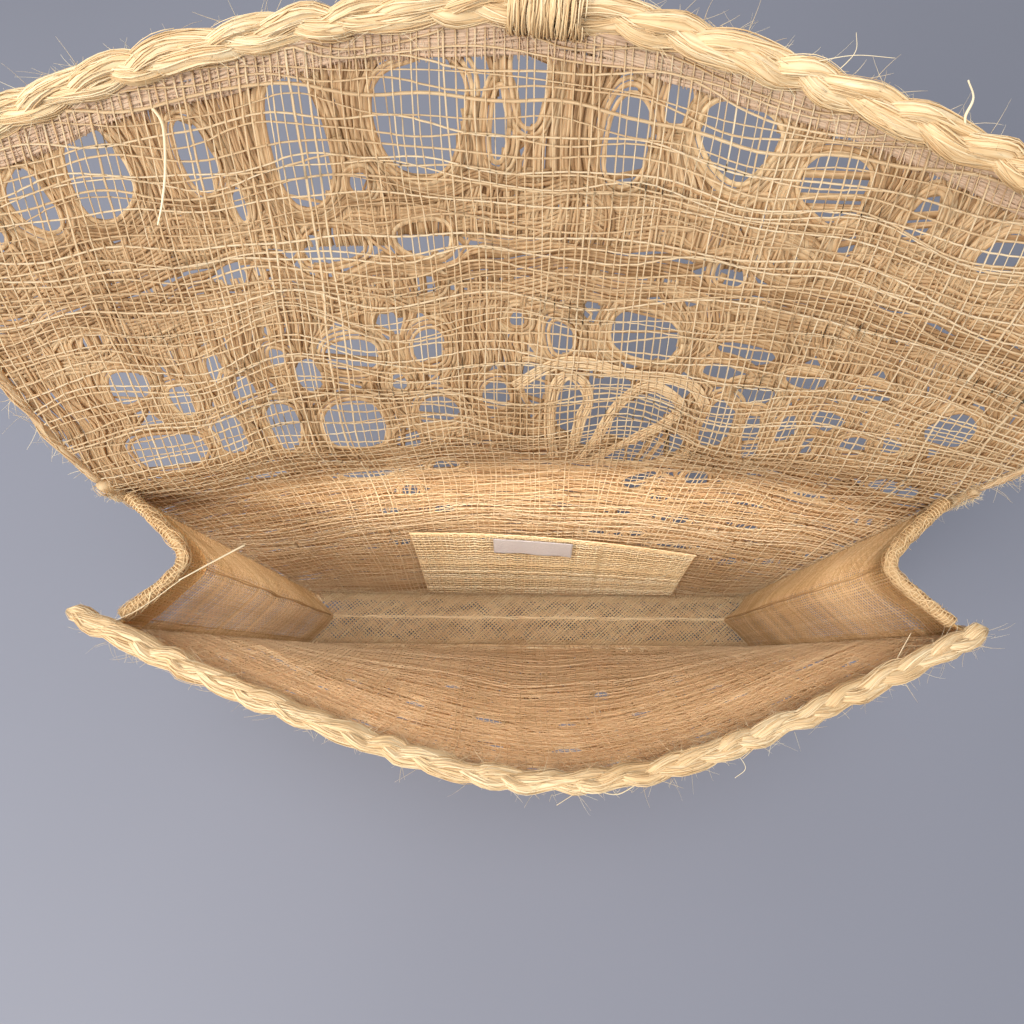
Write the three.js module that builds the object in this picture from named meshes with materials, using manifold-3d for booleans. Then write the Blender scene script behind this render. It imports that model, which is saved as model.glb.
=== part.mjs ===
// A straw clutch standing open, as a scene graph in millimetres.
// +X is the bag's right as its front is looked at, +Y its back and +Z up.
import * as THREE from 'three';
import { mergeVertices } from 'three/addons/utils/BufferGeometryUtils.js';
import Module from 'manifold-3d';

const wasm = await Module();
wasm.setup();

// Body: the walls are sewn lines between the panels, where straw meets lining
const mouthWidth = 300;
const baseWidth = 250;
const panelHeight = 170;
const foldRise = 7;
const mouthDepth = 49;
const baseDepth = 30;
const frontBow = 49;
const frontBowBluntness = 0.4;
const frontBowShift = 0.05;
const backBow = 18;

// Flap: it grows out of the back wall, leans back, curls and flares
const flapLength = 123;
const flapSideDrop = 26;
const flapOutlinePower = 1.5;
const flapRootLean = 17.6;
const flapTipLean = 39.3;
const flapTipBow = 31;
const flapTwist = 21.5;
const flapFlare = 22;
const flapFlareLength = 40;

// Layers and clearances
const strawThickness = 2;
const gauzeThickness = 1;
const gussetThickness = 1.2;
const touchGap = 0.3;
const seamGap = 0.9;
const panelBottomRise = 1.4;
const flapRootRise = 1.2;

// Bellows gusset: sides fold inward and the base folds upward
const mouthPleat = 24;
const basePleat = 15.8;
const baseRidge = 7.8;
const creaseClearance = 2.4;
const gussetEdgeInset = 1;
const mitreGap = 1.6;

// Braids, bindings and hems, by radius
const bottomBraidRadius = 4.5;
const rimBraidRadius = 4.7;
const sideBraidRadius = 4;
const flapBraidRadius = 5;
const backBindingRadius = 2.2;
const mouthTapeRadius = 1.9;
const flapHemRadius = 1.6;
const pocketHemRadius = 1.6;
const rimOverhang = 7;

// Inner pocket and its blank label
const pocketWidth = 138;
const pocketTop = 77;
const pocketBottom = 4;
const pocketShift = 12;
const pocketSlant = 0.15;
const labelWidth = 38.6;
const labelShift = 1;
const labelHeight = 14.5;
const labelThickness = 0.6;

// Closure: a whipped straw loop at the flap's tip and a button on the front
const whippingTurns = 9;
const whippingPitch = 2;
const whippingCordRadius = 0.75;
const loopCordRadius = 1.5;
const loopLength = 30;
const loopHalfWidth = 8.5;
const loopRootHalfWidth = 4.5;
const buttonRadius = 10;
const buttonThickness = 3.6;
const shankRadius = 1.6;
const shankLength = 2.4;
const closedMouthDepth = 10;
const loopSeat = 0.75;
const loopWidestShare = 0.45;
const loopShoulderShare = 0.85;
const loopShoulderWidth = 0.8;

// How finely the curved solids are divided
const frontColumns = 28;
const backColumns = 20;
const flapColumns = 24;
const panelRows = 8;
const pocketColumns = 12;
const pocketRows = 5;
const gussetColumns = 2;
const gussetRows = 6;
const baseColumns = 12;
const baseRows = 8;
const labelColumns = 4;
const labelRows = 2;
const tubeSides = 8;
const fineTubeSides = 6;
const braidSteps = 40;
const hemSteps = 12;
const seamSteps = 6;
const tapeSteps = 4;
const loopSteps = 36;
const windingSteps = 24;

const seamLift = 2 * bottomBraidRadius;
const backHeight = panelHeight + foldRise;
const nodes = new THREE.Group();

const mix = THREE.MathUtils.lerp;
const radians = THREE.MathUtils.degToRad;

function material(color, roughness) {
  return new THREE.MeshStandardMaterial({ color, roughness, metalness: 0 });
}

const straw = material(0xd8b273, 0.8);
const braidStraw = material(0xe6c58a, 0.75);
const gauze = material(0xe2c795, 0.85);
const gussetCloth = material(0xc9a877, 0.9);
const labelRibbon = material(0xdcd6dc, 0.6);
const buttonWood = material(0x7a4f2b, 0.5);
const sewingThread = material(0xcfb07a, 0.8);

function add(name, geometry, look) {
  const mesh = new THREE.Mesh(geometry, look);
  mesh.name = name;
  nodes.add(mesh);
  return mesh;
}

// Half the body's width and depth at a height v, from 0 at the base to 1 at the mouth
function halfWidth(v) {
  return mix(baseWidth, mouthWidth, v) / 2;
}

function halfDepth(v) {
  return mix(baseDepth, mouthDepth, v) / 2;
}

function bowRise(v) {
  return Math.sin((Math.min(Math.max(v, 0), 1) * Math.PI) / 2);
}

// Front wall: straight sides that round off just right of the middle, as a springy edge does when pulled open
function frontBend(u) {
  const k = frontBowBluntness;
  const across = u - frontBowShift * Math.max(1 - u * u, 0) ** 2;
  return 1 - (Math.hypot(across, k) - k) / (Math.hypot(1, k) - k);
}

function frontWall(u, v) {
  const y = -halfDepth(v) - frontBow * bowRise(v) * frontBend(u);
  return new THREE.Vector3(halfWidth(v) * u, y, seamLift + panelHeight * v);
}

function backWall(u, v) {
  const y = halfDepth(v) + backBow * bowRise(v) * (1 - u * u);
  return new THREE.Vector3(halfWidth(v) * u, y, seamLift + panelHeight * v);
}

// Flap: distance s is measured up the flap from the fold
function flapReach(u) {
  return flapLength - flapSideDrop * Math.abs(u) ** flapOutlinePower;
}

function flapHalfWidth(s) {
  return halfWidth(backHeight / panelHeight) + flapFlare * (1 - Math.exp(-s / flapFlareLength));
}

function flapWall(u, s) {
  const steps = 24;
  const step = s / steps;
  let y = halfDepth(backHeight / panelHeight);
  let z = seamLift + backHeight;
  for (let i = 0; i < steps; i++) {
    const lean = radians(mix(flapRootLean, flapTipLean, ((i + 0.5) * step) / flapLength));
    y += Math.sin(lean) * step;
    z += Math.cos(lean) * step;
  }
  const share = s / flapLength;
  const bow = mix(backBow, flapTipBow, share) * (1 - u * u);
  return new THREE.Vector3(flapHalfWidth(s) * u, y + bow - flapTwist * u * share, z);
}

// The direction out of a wall, away from the bag's inside, which lies on the given side of Y
function outward(wall, u, v, side) {
  const du = 0.01;
  const dv = wall === flapWall ? 1 : 0.01;
  const across = wall(u + du, v).sub(wall(u - du, v));
  const along = wall(u, v + dv).sub(wall(u, Math.max(v - dv, 0)));
  const normal = across.cross(along).normalize();
  return normal.y * side < 0 ? normal.negate() : normal;
}

// A closed grid solid between two sheets of points, facing out
function gridSolid(inner, outer, columns, rows) {
  const points = [];
  for (const sheet of [inner, outer]) {
    for (let j = 0; j <= rows; j++) {
      for (let i = 0; i <= columns; i++) {
        points.push(...sheet(i / columns, j / rows).toArray());
      }
    }
  }
  const width = columns + 1;
  const half = width * (rows + 1);
  const faces = [];
  const quad = (a, b, c, d) => faces.push(a, b, c, a, c, d);
  for (let j = 0; j < rows; j++) {
    for (let i = 0; i < columns; i++) {
      const a = j * width + i;
      quad(a, a + 1, a + width + 1, a + width);
      quad(half + a, half + a + width, half + a + width + 1, half + a + 1);
    }
  }
  for (let i = 0; i < columns; i++) {
    const top = rows * width + i;
    quad(i, half + i, half + i + 1, i + 1);
    quad(top, top + 1, half + top + 1, half + top);
  }
  for (let j = 0; j < rows; j++) {
    const left = j * width;
    const right = left + columns;
    quad(left, left + width, half + left + width, half + left);
    quad(right, half + right, half + right + width, right + width);
  }
  return closedGeometry(points, faces);
}

// Signed volume of a triangle mesh: it is negative when the faces look inward
function signedVolume(points, faces) {
  const corner = (i) => new THREE.Vector3().fromArray(points, 3 * faces[i]);
  let volume = 0;
  for (let i = 0; i < faces.length; i += 3) {
    volume += corner(i).dot(corner(i + 1).cross(corner(i + 2))) / 6;
  }
  return volume;
}

function closedGeometry(points, faces) {
  if (signedVolume(points, faces) < 0) {
    faces.reverse();
  }
  const geometry = new THREE.BufferGeometry();
  geometry.setAttribute('position', new THREE.Float32BufferAttribute(points, 3));
  geometry.setIndex(faces);
  return geometry;
}

// A layer of a wall, from one depth to another along the wall's outward direction
function wallLayer(wall, side, from, to, map, columns, rows) {
  const sheet = (depth) => (a, b) => {
    const [u, v] = map(a, b);
    return wall(u, v).addScaledVector(outward(wall, u, v, side), depth);
  };
  return gridSolid(sheet(from), sheet(to), columns, rows);
}

// A closed tube along a path of points
function tube(path, radius, sides) {
  const rings = path.length;
  const points = [];
  const faces = [];
  let side = null;
  for (let i = 0; i < rings; i++) {
    const before = path[Math.max(i - 1, 0)];
    const after = path[Math.min(i + 1, rings - 1)];
    const forward = after.clone().sub(before).normalize();
    if (side === null) {
      const upright = Math.abs(forward.z) > 0.9;
      const helper = new THREE.Vector3(0, upright ? 1 : 0, upright ? 0 : 1);
      side = helper.cross(forward).normalize();
    }
    side.addScaledVector(forward, -side.dot(forward)).normalize();
    const third = forward.clone().cross(side);
    for (let k = 0; k < sides; k++) {
      const angle = (2 * Math.PI * (k + 0.5)) / sides;
      const point = path[i].clone();
      point.addScaledVector(side, radius * Math.cos(angle));
      point.addScaledVector(third, radius * Math.sin(angle));
      points.push(...point.toArray());
    }
  }
  for (let i = 0; i < rings - 1; i++) {
    for (let k = 0; k < sides; k++) {
      const a = i * sides + k;
      const b = i * sides + ((k + 1) % sides);
      faces.push(a, b, b + sides, a, b + sides, a + sides);
    }
  }
  for (let k = 1; k < sides - 1; k++) {
    faces.push(0, k + 1, k);
    const last = (rings - 1) * sides;
    faces.push(last, last + k, last + k + 1);
  }
  return closedGeometry(points, faces);
}

function sample(count, place) {
  return Array.from({ length: count + 1 }, (_, i) => place(i / count));
}

// Cuts one closed geometry out of another
function asManifold(geometry) {
  const bare = geometry.clone();
  bare.deleteAttribute('normal');
  bare.deleteAttribute('uv');
  const merged = mergeVertices(bare);
  const mesh = new wasm.Mesh({
    numProp: 3,
    vertProperties: new Float32Array(merged.attributes.position.array),
    triVerts: new Uint32Array(merged.index.array),
  });
  return new wasm.Manifold(mesh);
}

function cutOut(geometry, cutter) {
  const result = asManifold(geometry).subtract(asManifold(cutter)).getMesh();
  return closedGeometry(Array.from(result.vertProperties), Array.from(result.triVerts));
}

// Straw outside and gauze inside, each a layer on its own side of the wall's sewn line
const strawInner = touchGap / 2;
const strawOuter = strawInner + strawThickness;
const gauzeOuter = -touchGap / 2;
const gauzeInner = gauzeOuter - gauzeThickness;

function bodyLayer(wall, side, from, to, topHeight, columns) {
  const bottom = panelBottomRise / panelHeight;
  const top = topHeight / panelHeight;
  const map = (a, b) => [mix(-1, 1, a), mix(bottom, top, b)];
  return wallLayer(wall, side, from, to, map, columns, panelRows);
}

function frontPanel() {
  const top = panelHeight - rimBraidRadius - touchGap;
  const strawLayer = bodyLayer(frontWall, -1, strawInner, strawOuter, top, frontColumns);
  const gauzeLayer = bodyLayer(frontWall, -1, gauzeInner, gauzeOuter, top, frontColumns);
  add('front_straw_panel', strawLayer, straw);
  add('front_gauze_lining', gauzeLayer, gauze);
}

function backPanel() {
  const foldClearance = gauzeThickness + 2 * touchGap;
  const strawTop = backHeight - touchGap / 2;
  const gauzeTop = backHeight - foldClearance;
  const strawLayer = bodyLayer(backWall, 1, strawInner, strawOuter, strawTop, backColumns);
  const gauzeLayer = bodyLayer(backWall, 1, gauzeInner, gauzeOuter, gauzeTop, backColumns);
  add('back_straw_panel', strawLayer, straw);
  add('back_gauze_lining', gauzeLayer, gauze);
}

// Places along the flap's tip, where the braid runs
function flapTip(u) {
  return flapWall(u, flapReach(u));
}

// The braid's direction at the middle of the tip, and a turn that brings +X to it
function tipTurn() {
  const along = flapTip(0.02).sub(flapTip(-0.02)).normalize();
  return new THREE.Quaternion().setFromUnitVectors(new THREE.Vector3(1, 0, 0), along);
}

// How far the panel stops short of the tip line, so that it clears the braid where the tip slopes
function flapEdgeDrop(u) {
  const slope = flapSideDrop * flapOutlinePower * Math.abs(u) ** (flapOutlinePower - 1);
  return (flapBraidRadius + 2 * touchGap) * Math.hypot(1, slope / flapHalfWidth(flapLength));
}

function flapPanel() {
  const map = (root) => (a, b) => {
    const u = mix(-1, 1, a);
    return [u, mix(root, flapReach(u) - flapEdgeDrop(u), b)];
  };
  const notchRadius = flapBraidRadius + 2 * whippingCordRadius + 2 * touchGap;
  const notchLength = whippingTurns * whippingPitch + 4 * whippingCordRadius + 2 * touchGap;
  const notch = new THREE.CylinderGeometry(notchRadius, notchRadius, notchLength, 2 * tubeSides);
  notch.rotateZ(Math.PI / 2);
  notch.applyQuaternion(tipTurn());
  notch.translate(...flapTip(0).toArray());
  const layer = (from, to, root) => wallLayer(flapWall, 1, from, to, map(root), flapColumns, panelRows);
  const strawLayer = layer(strawInner, strawOuter, flapRootRise);
  const gauzeLayer = layer(gauzeInner, gauzeOuter, touchGap);
  add('flap_straw_panel', cutOut(strawLayer, notch), straw);
  add('flap_gauze_lining', cutOut(gauzeLayer, notch), gauze);
}

function flapEdges() {
  const tip = sample(braidSteps, (t) => flapTip(mix(-1, 1, t)));
  add('flap_tip_braid', tube(tip, flapBraidRadius, tubeSides), braidStraw);
  const end = flapReach(1) - flapEdgeDrop(1) - flapHemRadius;
  const offset = flapHemRadius + touchGap;
  for (const [name, side] of [['left', -1], ['right', 1]]) {
    const path = sample(hemSteps, (t) => {
      const place = flapWall(side, mix(flapHemRadius, end, t));
      place.x += side * offset;
      return place;
    });
    add(`flap_hem_${name}`, tube(path, flapHemRadius, tubeSides), gauze);
  }
}

// Braids round the front panel: the rim, its rounded ends and the two side seams
function rimPath(t) {
  const reach = 1 + rimOverhang / halfWidth(1);
  return frontWall(mix(-reach, reach, t), 1);
}

function sideSeam(side, ySide, radius, top) {
  const bottom = seamGap + touchGap;
  return sample(seamSteps, (t) => {
    const v = mix(bottom, top, t) / panelHeight;
    const x = side * (halfWidth(v) + radius + touchGap + touchGap / 2);
    return new THREE.Vector3(x, ySide * halfDepth(v), seamLift + panelHeight * v);
  });
}

function seamBraids() {
  add('front_rim_braid', tube(sample(braidSteps, rimPath), rimBraidRadius, tubeSides), braidStraw);
  const frontTop = panelHeight - rimBraidRadius - touchGap - touchGap / 2;
  const backTop = backHeight - backBindingRadius;
  for (const [name, side] of [['left', -1], ['right', 1]]) {
    const frontSeam = sideSeam(side, -1, sideBraidRadius, frontTop);
    const backSeam = sideSeam(side, 1, backBindingRadius, backTop);
    add(`front_side_braid_${name}`, tube(frontSeam, sideBraidRadius, tubeSides), braidStraw);
    add(`back_side_binding_${name}`, tube(backSeam, backBindingRadius, tubeSides), gauze);
  }
  const length = baseWidth + 2 * sideBraidRadius;
  const facetTurn = Math.PI / tubeSides;
  const cornerToCentre = bottomBraidRadius / Math.cos(facetTurn);
  for (const [name, side] of [['front', -1], ['back', 1]]) {
    const braid = new THREE.CylinderGeometry(cornerToCentre, cornerToCentre, length, tubeSides);
    braid.rotateY(facetTurn);
    braid.rotateZ(Math.PI / 2);
    const mesh = add(`bottom_braid_${name}`, braid, braidStraw);
    mesh.position.set(0, (side * baseDepth) / 2, bottomBraidRadius);
  }
}

// Bellows gusset: each half runs from a panel's seam to the crease
const seamInset = -gauzeInner + touchGap + gussetThickness / 2 + touchGap / 2;
const gussetTopDrop = rimBraidRadius + 2 * touchGap;
const gussetBottomRise = { front: 3.4, back: 1.4 };

function gussetSeam(side, ySide, v) {
  const x = side * (halfWidth(v) - gussetEdgeInset);
  const y = ySide * (halfDepth(v) - seamInset);
  return new THREE.Vector3(x, y, seamLift + panelHeight * v);
}

function gussetCrease(side, ySide, v) {
  const x = side * (halfWidth(v) - mix(basePleat, mouthPleat, v));
  const rise = baseRidge * (1 - v);
  return new THREE.Vector3(x, ySide * creaseClearance, seamLift + rise + panelHeight * v);
}

function gussetHalf(side, ySide, bottomRise) {
  const bottom = bottomRise / panelHeight;
  const top = 1 - gussetTopDrop / panelHeight;
  const place = (a, b) => {
    const v = mix(bottom, top, b);
    const seam = gussetSeam(side, ySide, v);
    const crease = gussetCrease(side, ySide, v);
    crease.z = mix(crease.z, seam.z, b);
    return seam.lerp(crease, a);
  };
  return offsetSheet(place, gussetThickness, gussetColumns, gussetRows);
}

// A thin solid of even thickness about a sheet of points
function offsetSheet(place, thickness, columns, rows) {
  const step = 0.01;
  const offset = (depth) => (a, b) => {
    const across = place(a + step, b).sub(place(a - step, b));
    const along = place(a, b + step).sub(place(a, b - step));
    return place(a, b).addScaledVector(across.cross(along).normalize(), depth);
  };
  return gridSolid(offset(-thickness / 2), offset(thickness / 2), columns, rows);
}

function mouthTape(side, ySide) {
  const v = 1 - gussetTopDrop / panelHeight;
  const lift = mouthTapeRadius + gussetThickness / 2 + touchGap / 2;
  const seam = gussetSeam(side, ySide, v);
  const crease = gussetCrease(side, ySide, v);
  crease.z = seam.z;
  const length = seam.distanceTo(crease);
  const clear = ySide < 0 ? rimBraidRadius + mouthTapeRadius : mouthTapeRadius;
  const path = sample(tapeSteps, (t) => {
    const place = seam.clone().lerp(crease, mix(clear / length, 1 - touchGap / length, t));
    place.z += lift;
    return place;
  });
  return tube(path, mouthTapeRadius, tubeSides);
}

function gussets() {
  for (const [name, side] of [['left', -1], ['right', 1]]) {
    for (const [half, ySide] of [['front', -1], ['back', 1]]) {
      const cloth = gussetHalf(side, ySide, gussetBottomRise[half]);
      add(`gusset_${name}_${half}`, cloth, gussetCloth);
      add(`mouth_tape_${name}_${half}`, mouthTape(side, ySide), gauze);
    }
  }
}

// The base is the same strip, creased upward between the two bottom seams
function baseStrip() {
  const seamY = baseDepth / 2 - seamInset;
  const seamZ = seamLift + gussetThickness + touchGap;
  const place = (a, b) => {
    const y = mix(-seamY, seamY, b);
    const rise = 1 - Math.abs(y) / seamY;
    const half = baseWidth / 2 - mix(gussetEdgeInset, basePleat, rise) - mitreGap;
    return new THREE.Vector3(mix(-half, half, a), y, mix(seamZ, seamLift + baseRidge, rise));
  };
  const shifted = (depth) => (a, b) => place(a, b).add(new THREE.Vector3(0, 0, depth));
  const below = shifted(-gussetThickness / 2);
  const above = shifted(gussetThickness / 2);
  add('base_strip', gridSolid(below, above, baseColumns, baseRows), gussetCloth);
}

// Pocket, hem and label lie on the back lining, one upon another
const pocketOuter = gauzeInner - touchGap;
const pocketInner = pocketOuter - gauzeThickness;

// It sits right of the middle and a little askew: the height of its edge at x across
function pocketEdge(x) {
  return pocketTop - pocketSlant * (x - pocketShift);
}

function pocketMap(middle, width, bottom, top) {
  return (a, b) => {
    const x = middle + (mix(-1, 1, a) * width) / 2;
    const v = mix(bottom(x), top(x), b) / panelHeight;
    return [x / halfWidth(v), v];
  };
}

function pocket() {
  const map = pocketMap(pocketShift, pocketWidth, () => pocketBottom, pocketEdge);
  const sheet = wallLayer(backWall, 1, pocketInner, pocketOuter, map, pocketColumns, pocketRows);
  add('inner_pocket', sheet, gauze);
  const hemRise = (pocketHemRadius + touchGap) * Math.hypot(1, pocketSlant);
  const hemDepth = gauzeInner - touchGap - pocketHemRadius;
  const hem = sample(pocketColumns, (t) => {
    const x = pocketShift + (mix(-1, 1, t) * pocketWidth) / 2;
    const v = (pocketEdge(x) + hemRise) / panelHeight;
    const u = x / halfWidth(v);
    return backWall(u, v).addScaledVector(outward(backWall, u, v, 1), hemDepth);
  });
  add('pocket_hem', tube(hem, pocketHemRadius, tubeSides), gauze);
  const labelOuter = pocketInner - touchGap;
  const labelInner = labelOuter - labelThickness;
  const labelTop = (x) => pocketEdge(x) - pocketHemRadius;
  const labelBottom = (x) => labelTop(x) - labelHeight;
  const labelMap = pocketMap(labelShift, labelWidth, labelBottom, labelTop);
  const label = wallLayer(backWall, 1, labelInner, labelOuter, labelMap, labelColumns, labelRows);
  add('blank_label', label, labelRibbon);
}

// The least distance between two turns of a winding, measured on points of its cord
function leastSelfGap(path, cordRadius, apart) {
  let least = Infinity;
  for (let i = 0; i < path.length; i++) {
    for (let j = i + apart; j < path.length; j++) {
      least = Math.min(least, path[i].distanceTo(path[j]));
    }
  }
  return least - 2 * cordRadius;
}

// Straw whipped round the tip braid holds the legs of the closure loop
function whipping() {
  const radius = flapBraidRadius + touchGap + whippingCordRadius;
  const centre = flapTip(0);
  const turn = tipTurn();
  const path = sample(whippingTurns * windingSteps, (t) => {
    const angle = 2 * Math.PI * whippingTurns * t;
    const x = (t - 0.5) * whippingTurns * whippingPitch;
    const place = new THREE.Vector3(x, radius * Math.cos(angle), radius * Math.sin(angle));
    return place.applyQuaternion(turn).add(centre);
  });
  const gap = leastSelfGap(path, whippingCordRadius, windingSteps / 2);
  console.log('whipping least gap to itself', gap.toFixed(2));
  add('loop_whipping', tube(path, whippingCordRadius, fineTubeSides), sewingThread);
}

// A slim loop of cord whose legs end on the whipping
function closureLoop() {
  const start = flapBraidRadius + touchGap + 2 * whippingCordRadius + loopSeat;
  const lean = radians(flapTipLean);
  const away = new THREE.Vector3(0, Math.sin(lean), Math.cos(lean));
  const place = (x, reach) => {
    const across = new THREE.Vector3(x, 0, 0).applyQuaternion(tipTurn());
    return flapTip(0).addScaledVector(away, reach).add(across);
  };
  const widest = start + loopLength * loopWidestShare;
  const shoulder = start + loopLength * loopShoulderShare;
  const shoulderX = loopHalfWidth * loopShoulderWidth;
  const curve = new THREE.CatmullRomCurve3([
    place(-loopRootHalfWidth, start),
    place(-loopHalfWidth, widest),
    place(-shoulderX, shoulder),
    place(0, start + loopLength),
    place(shoulderX, shoulder),
    place(loopHalfWidth, widest),
    place(loopRootHalfWidth, start),
  ]);
  add('closure_loop', tube(curve.getPoints(loopSteps), loopCordRadius, tubeSides), braidStraw);
}

// The button's half outline, as shares of its radius and of half its thickness
const buttonProfile = [
  [0, -1],
  [0.7, -1],
  [0.95, -0.45],
  [1, 0.1],
  [0.9, 0.75],
  [0.55, 1],
  [0, 0.8],
];

// The button sits where the loop reaches once the bag is pressed shut and the flap is folded over
function buttonPlace() {
  const height = panelHeight - (flapLength - closedMouthDepth) - loopLength / 2;
  return { u: 0, v: height / panelHeight };
}

function button() {
  const { u, v } = buttonPlace();
  const normal = outward(frontWall, u, v, -1);
  const seat = frontWall(u, v).addScaledVector(normal, strawOuter + touchGap);
  const turn = new THREE.Quaternion().setFromUnitVectors(new THREE.Vector3(0, 1, 0), normal);
  const stem = new THREE.CylinderGeometry(shankRadius, shankRadius, shankLength, tubeSides);
  const shank = add('button_shank', stem, sewingThread);
  shank.quaternion.copy(turn);
  shank.position.copy(seat).addScaledVector(normal, shankLength / 2);
  const half = buttonThickness / 2;
  const outline = buttonProfile.map(([r, y]) => new THREE.Vector2(r * buttonRadius, y * half));
  const disc = add('button', new THREE.LatheGeometry(outline, 3 * tubeSides), buttonWood);
  disc.quaternion.copy(turn);
  disc.position.copy(seat).addScaledVector(normal, shankLength + touchGap + half);
}

frontPanel();
backPanel();
flapPanel();
flapEdges();
seamBraids();
gussets();
baseStrip();
pocket();
whipping();
closureLoop();
button();

// The origin is under the middle of the whole bag, on the surface that it stands on
const bounds = new THREE.Box3().setFromObject(nodes);
const middle = bounds.getCenter(new THREE.Vector3());
nodes.position.set(-middle.x, -middle.y, -bounds.min.z);

export default nodes;
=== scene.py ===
"""A straw clutch standing open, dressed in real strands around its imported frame."""

import math

import bpy
import numpy as np
from mathutils import Matrix, Vector


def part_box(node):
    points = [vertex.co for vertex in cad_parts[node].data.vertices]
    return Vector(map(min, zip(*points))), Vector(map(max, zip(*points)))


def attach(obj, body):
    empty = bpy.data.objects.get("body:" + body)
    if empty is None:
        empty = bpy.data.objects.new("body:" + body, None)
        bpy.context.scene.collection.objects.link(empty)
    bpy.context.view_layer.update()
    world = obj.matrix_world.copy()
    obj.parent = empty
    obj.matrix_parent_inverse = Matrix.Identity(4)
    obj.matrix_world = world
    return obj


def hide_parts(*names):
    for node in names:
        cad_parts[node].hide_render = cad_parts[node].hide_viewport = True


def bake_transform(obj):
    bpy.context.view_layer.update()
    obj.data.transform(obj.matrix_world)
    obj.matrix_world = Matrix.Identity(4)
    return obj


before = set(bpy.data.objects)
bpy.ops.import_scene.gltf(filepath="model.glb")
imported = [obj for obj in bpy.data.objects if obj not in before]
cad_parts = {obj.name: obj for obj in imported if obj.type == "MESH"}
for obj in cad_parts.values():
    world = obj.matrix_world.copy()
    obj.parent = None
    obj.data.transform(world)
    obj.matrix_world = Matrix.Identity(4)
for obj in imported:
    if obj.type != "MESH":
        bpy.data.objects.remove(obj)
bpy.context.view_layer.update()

# Sizes of the bag in millimetres, as in the CAD model
MM = 0.001
MOUTH_WIDTH = 300
BASE_WIDTH = 250
PANEL_HEIGHT = 170
FOLD_RISE = 7
BACK_HEIGHT = PANEL_HEIGHT + FOLD_RISE
MOUTH_DEPTH = 49
BASE_DEPTH = 30
FRONT_BOW = 49
FRONT_BLUNTNESS = 0.4
FRONT_SHIFT = 0.05
BACK_BOW = 18
FLAP_LENGTH = 123
FLAP_SIDE_DROP = 26
FLAP_POWER = 1.5
FLAP_ROOT_LEAN = math.radians(17.6)
FLAP_TIP_LEAN = math.radians(39.3)
FLAP_TIP_BOW = 31
FLAP_TWIST = 21.5
FLAP_FLARE = 22
FLAP_FLARE_LENGTH = 40
SEAM_LIFT = 9
BASE_PLEAT = 15.8
MOUTH_PLEAT = 24
BASE_RIDGE = 7.8
RIM_RADIUS = 4.7
RIM_OVERHANG = 7
FLAP_BRAID_RADIUS = 5
SIDE_BRAID_RADIUS = 4
BOTTOM_BRAID_RADIUS = 4.5
BINDING_RADIUS = 2.2
HEM_RADIUS = 1.6
SIDES = (("left", -1), ("right", 1))
UP = (0, 0, 1)

# Where the body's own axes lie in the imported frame
braid_low, braid_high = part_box("bottom_braid_front")
ORIGIN = np.array([
    (braid_low.x + braid_high.x) / 2 / MM,
    (braid_low.y + braid_high.y) / 2 / MM + BASE_DEPTH / 2,
    0.0,
])


# Vectors and curves
def mix(a, b, share):
    return a + (b - a) * share


def unit(vectors):
    return vectors / np.maximum(np.linalg.norm(vectors, axis=-1, keepdims=True), 1e-9)


def travelled(path):
    """How far along the path each of its points lies."""
    return np.concatenate([[0], np.cumsum(np.linalg.norm(np.diff(path, axis=0), axis=1))])


def smooth(knots, count):
    """A smooth curve of count points through knots."""
    knots = np.array(knots, float)
    at = np.linspace(0, len(knots) - 1, count)
    padded = np.vstack([2 * knots[0] - knots[1], knots, 2 * knots[-1] - knots[-2]])
    i = np.clip(at.astype(int), 0, len(knots) - 2)
    s = (at - i)[:, None]
    a, b, c, d = (padded[i + n] for n in range(4))
    square = 2 * a - 5 * b + 4 * c - d
    cube = 3 * b - a - 3 * c + d
    return 0.5 * (2 * b + (c - a) * s + square * s ** 2 + cube * s ** 3)


# The two walls, with x across and t up from the base seam
def half_width(v):
    return mix(BASE_WIDTH, MOUTH_WIDTH, v) / 2


def half_depth(v):
    return mix(BASE_DEPTH, MOUTH_DEPTH, v) / 2


def bow_rise(v):
    return np.sin(np.clip(v, 0, 1) * math.pi / 2)


def front_bend(u):
    k = FRONT_BLUNTNESS
    across = u - FRONT_SHIFT * np.maximum(1 - u * u, 0) ** 2
    return 1 - (np.hypot(across, k) - k) / (np.hypot(1, k) - k)


def front_width(t):
    return half_width(t / PANEL_HEIGHT)


def front_top(x):
    """The front's top is level, whatever x."""
    return PANEL_HEIGHT


def front_sheet(x, t):
    """The front wall's sewn line."""
    v = t / PANEL_HEIGHT
    u = x / half_width(v)
    return np.stack([x, -half_depth(v) - FRONT_BOW * bow_rise(v) * front_bend(u), SEAM_LIFT + t], -1)


def back_width(t):
    """Half the width of back wall and flap."""
    s = np.maximum(t - BACK_HEIGHT, 0)
    flare = FLAP_FLARE * (1 - np.exp(-s / FLAP_FLARE_LENGTH))
    return half_width(np.minimum(t, BACK_HEIGHT) / PANEL_HEIGHT) + flare


def flap_reach(u):
    return FLAP_LENGTH - FLAP_SIDE_DROP * np.abs(u) ** FLAP_POWER


def flap_top(x):
    """How far up the sheet the flap's tip line lies at x."""
    u = np.clip(x / (half_width(BACK_HEIGHT / PANEL_HEIGHT) + FLAP_FLARE), -1, 1)
    return BACK_HEIGHT + flap_reach(u)


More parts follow.
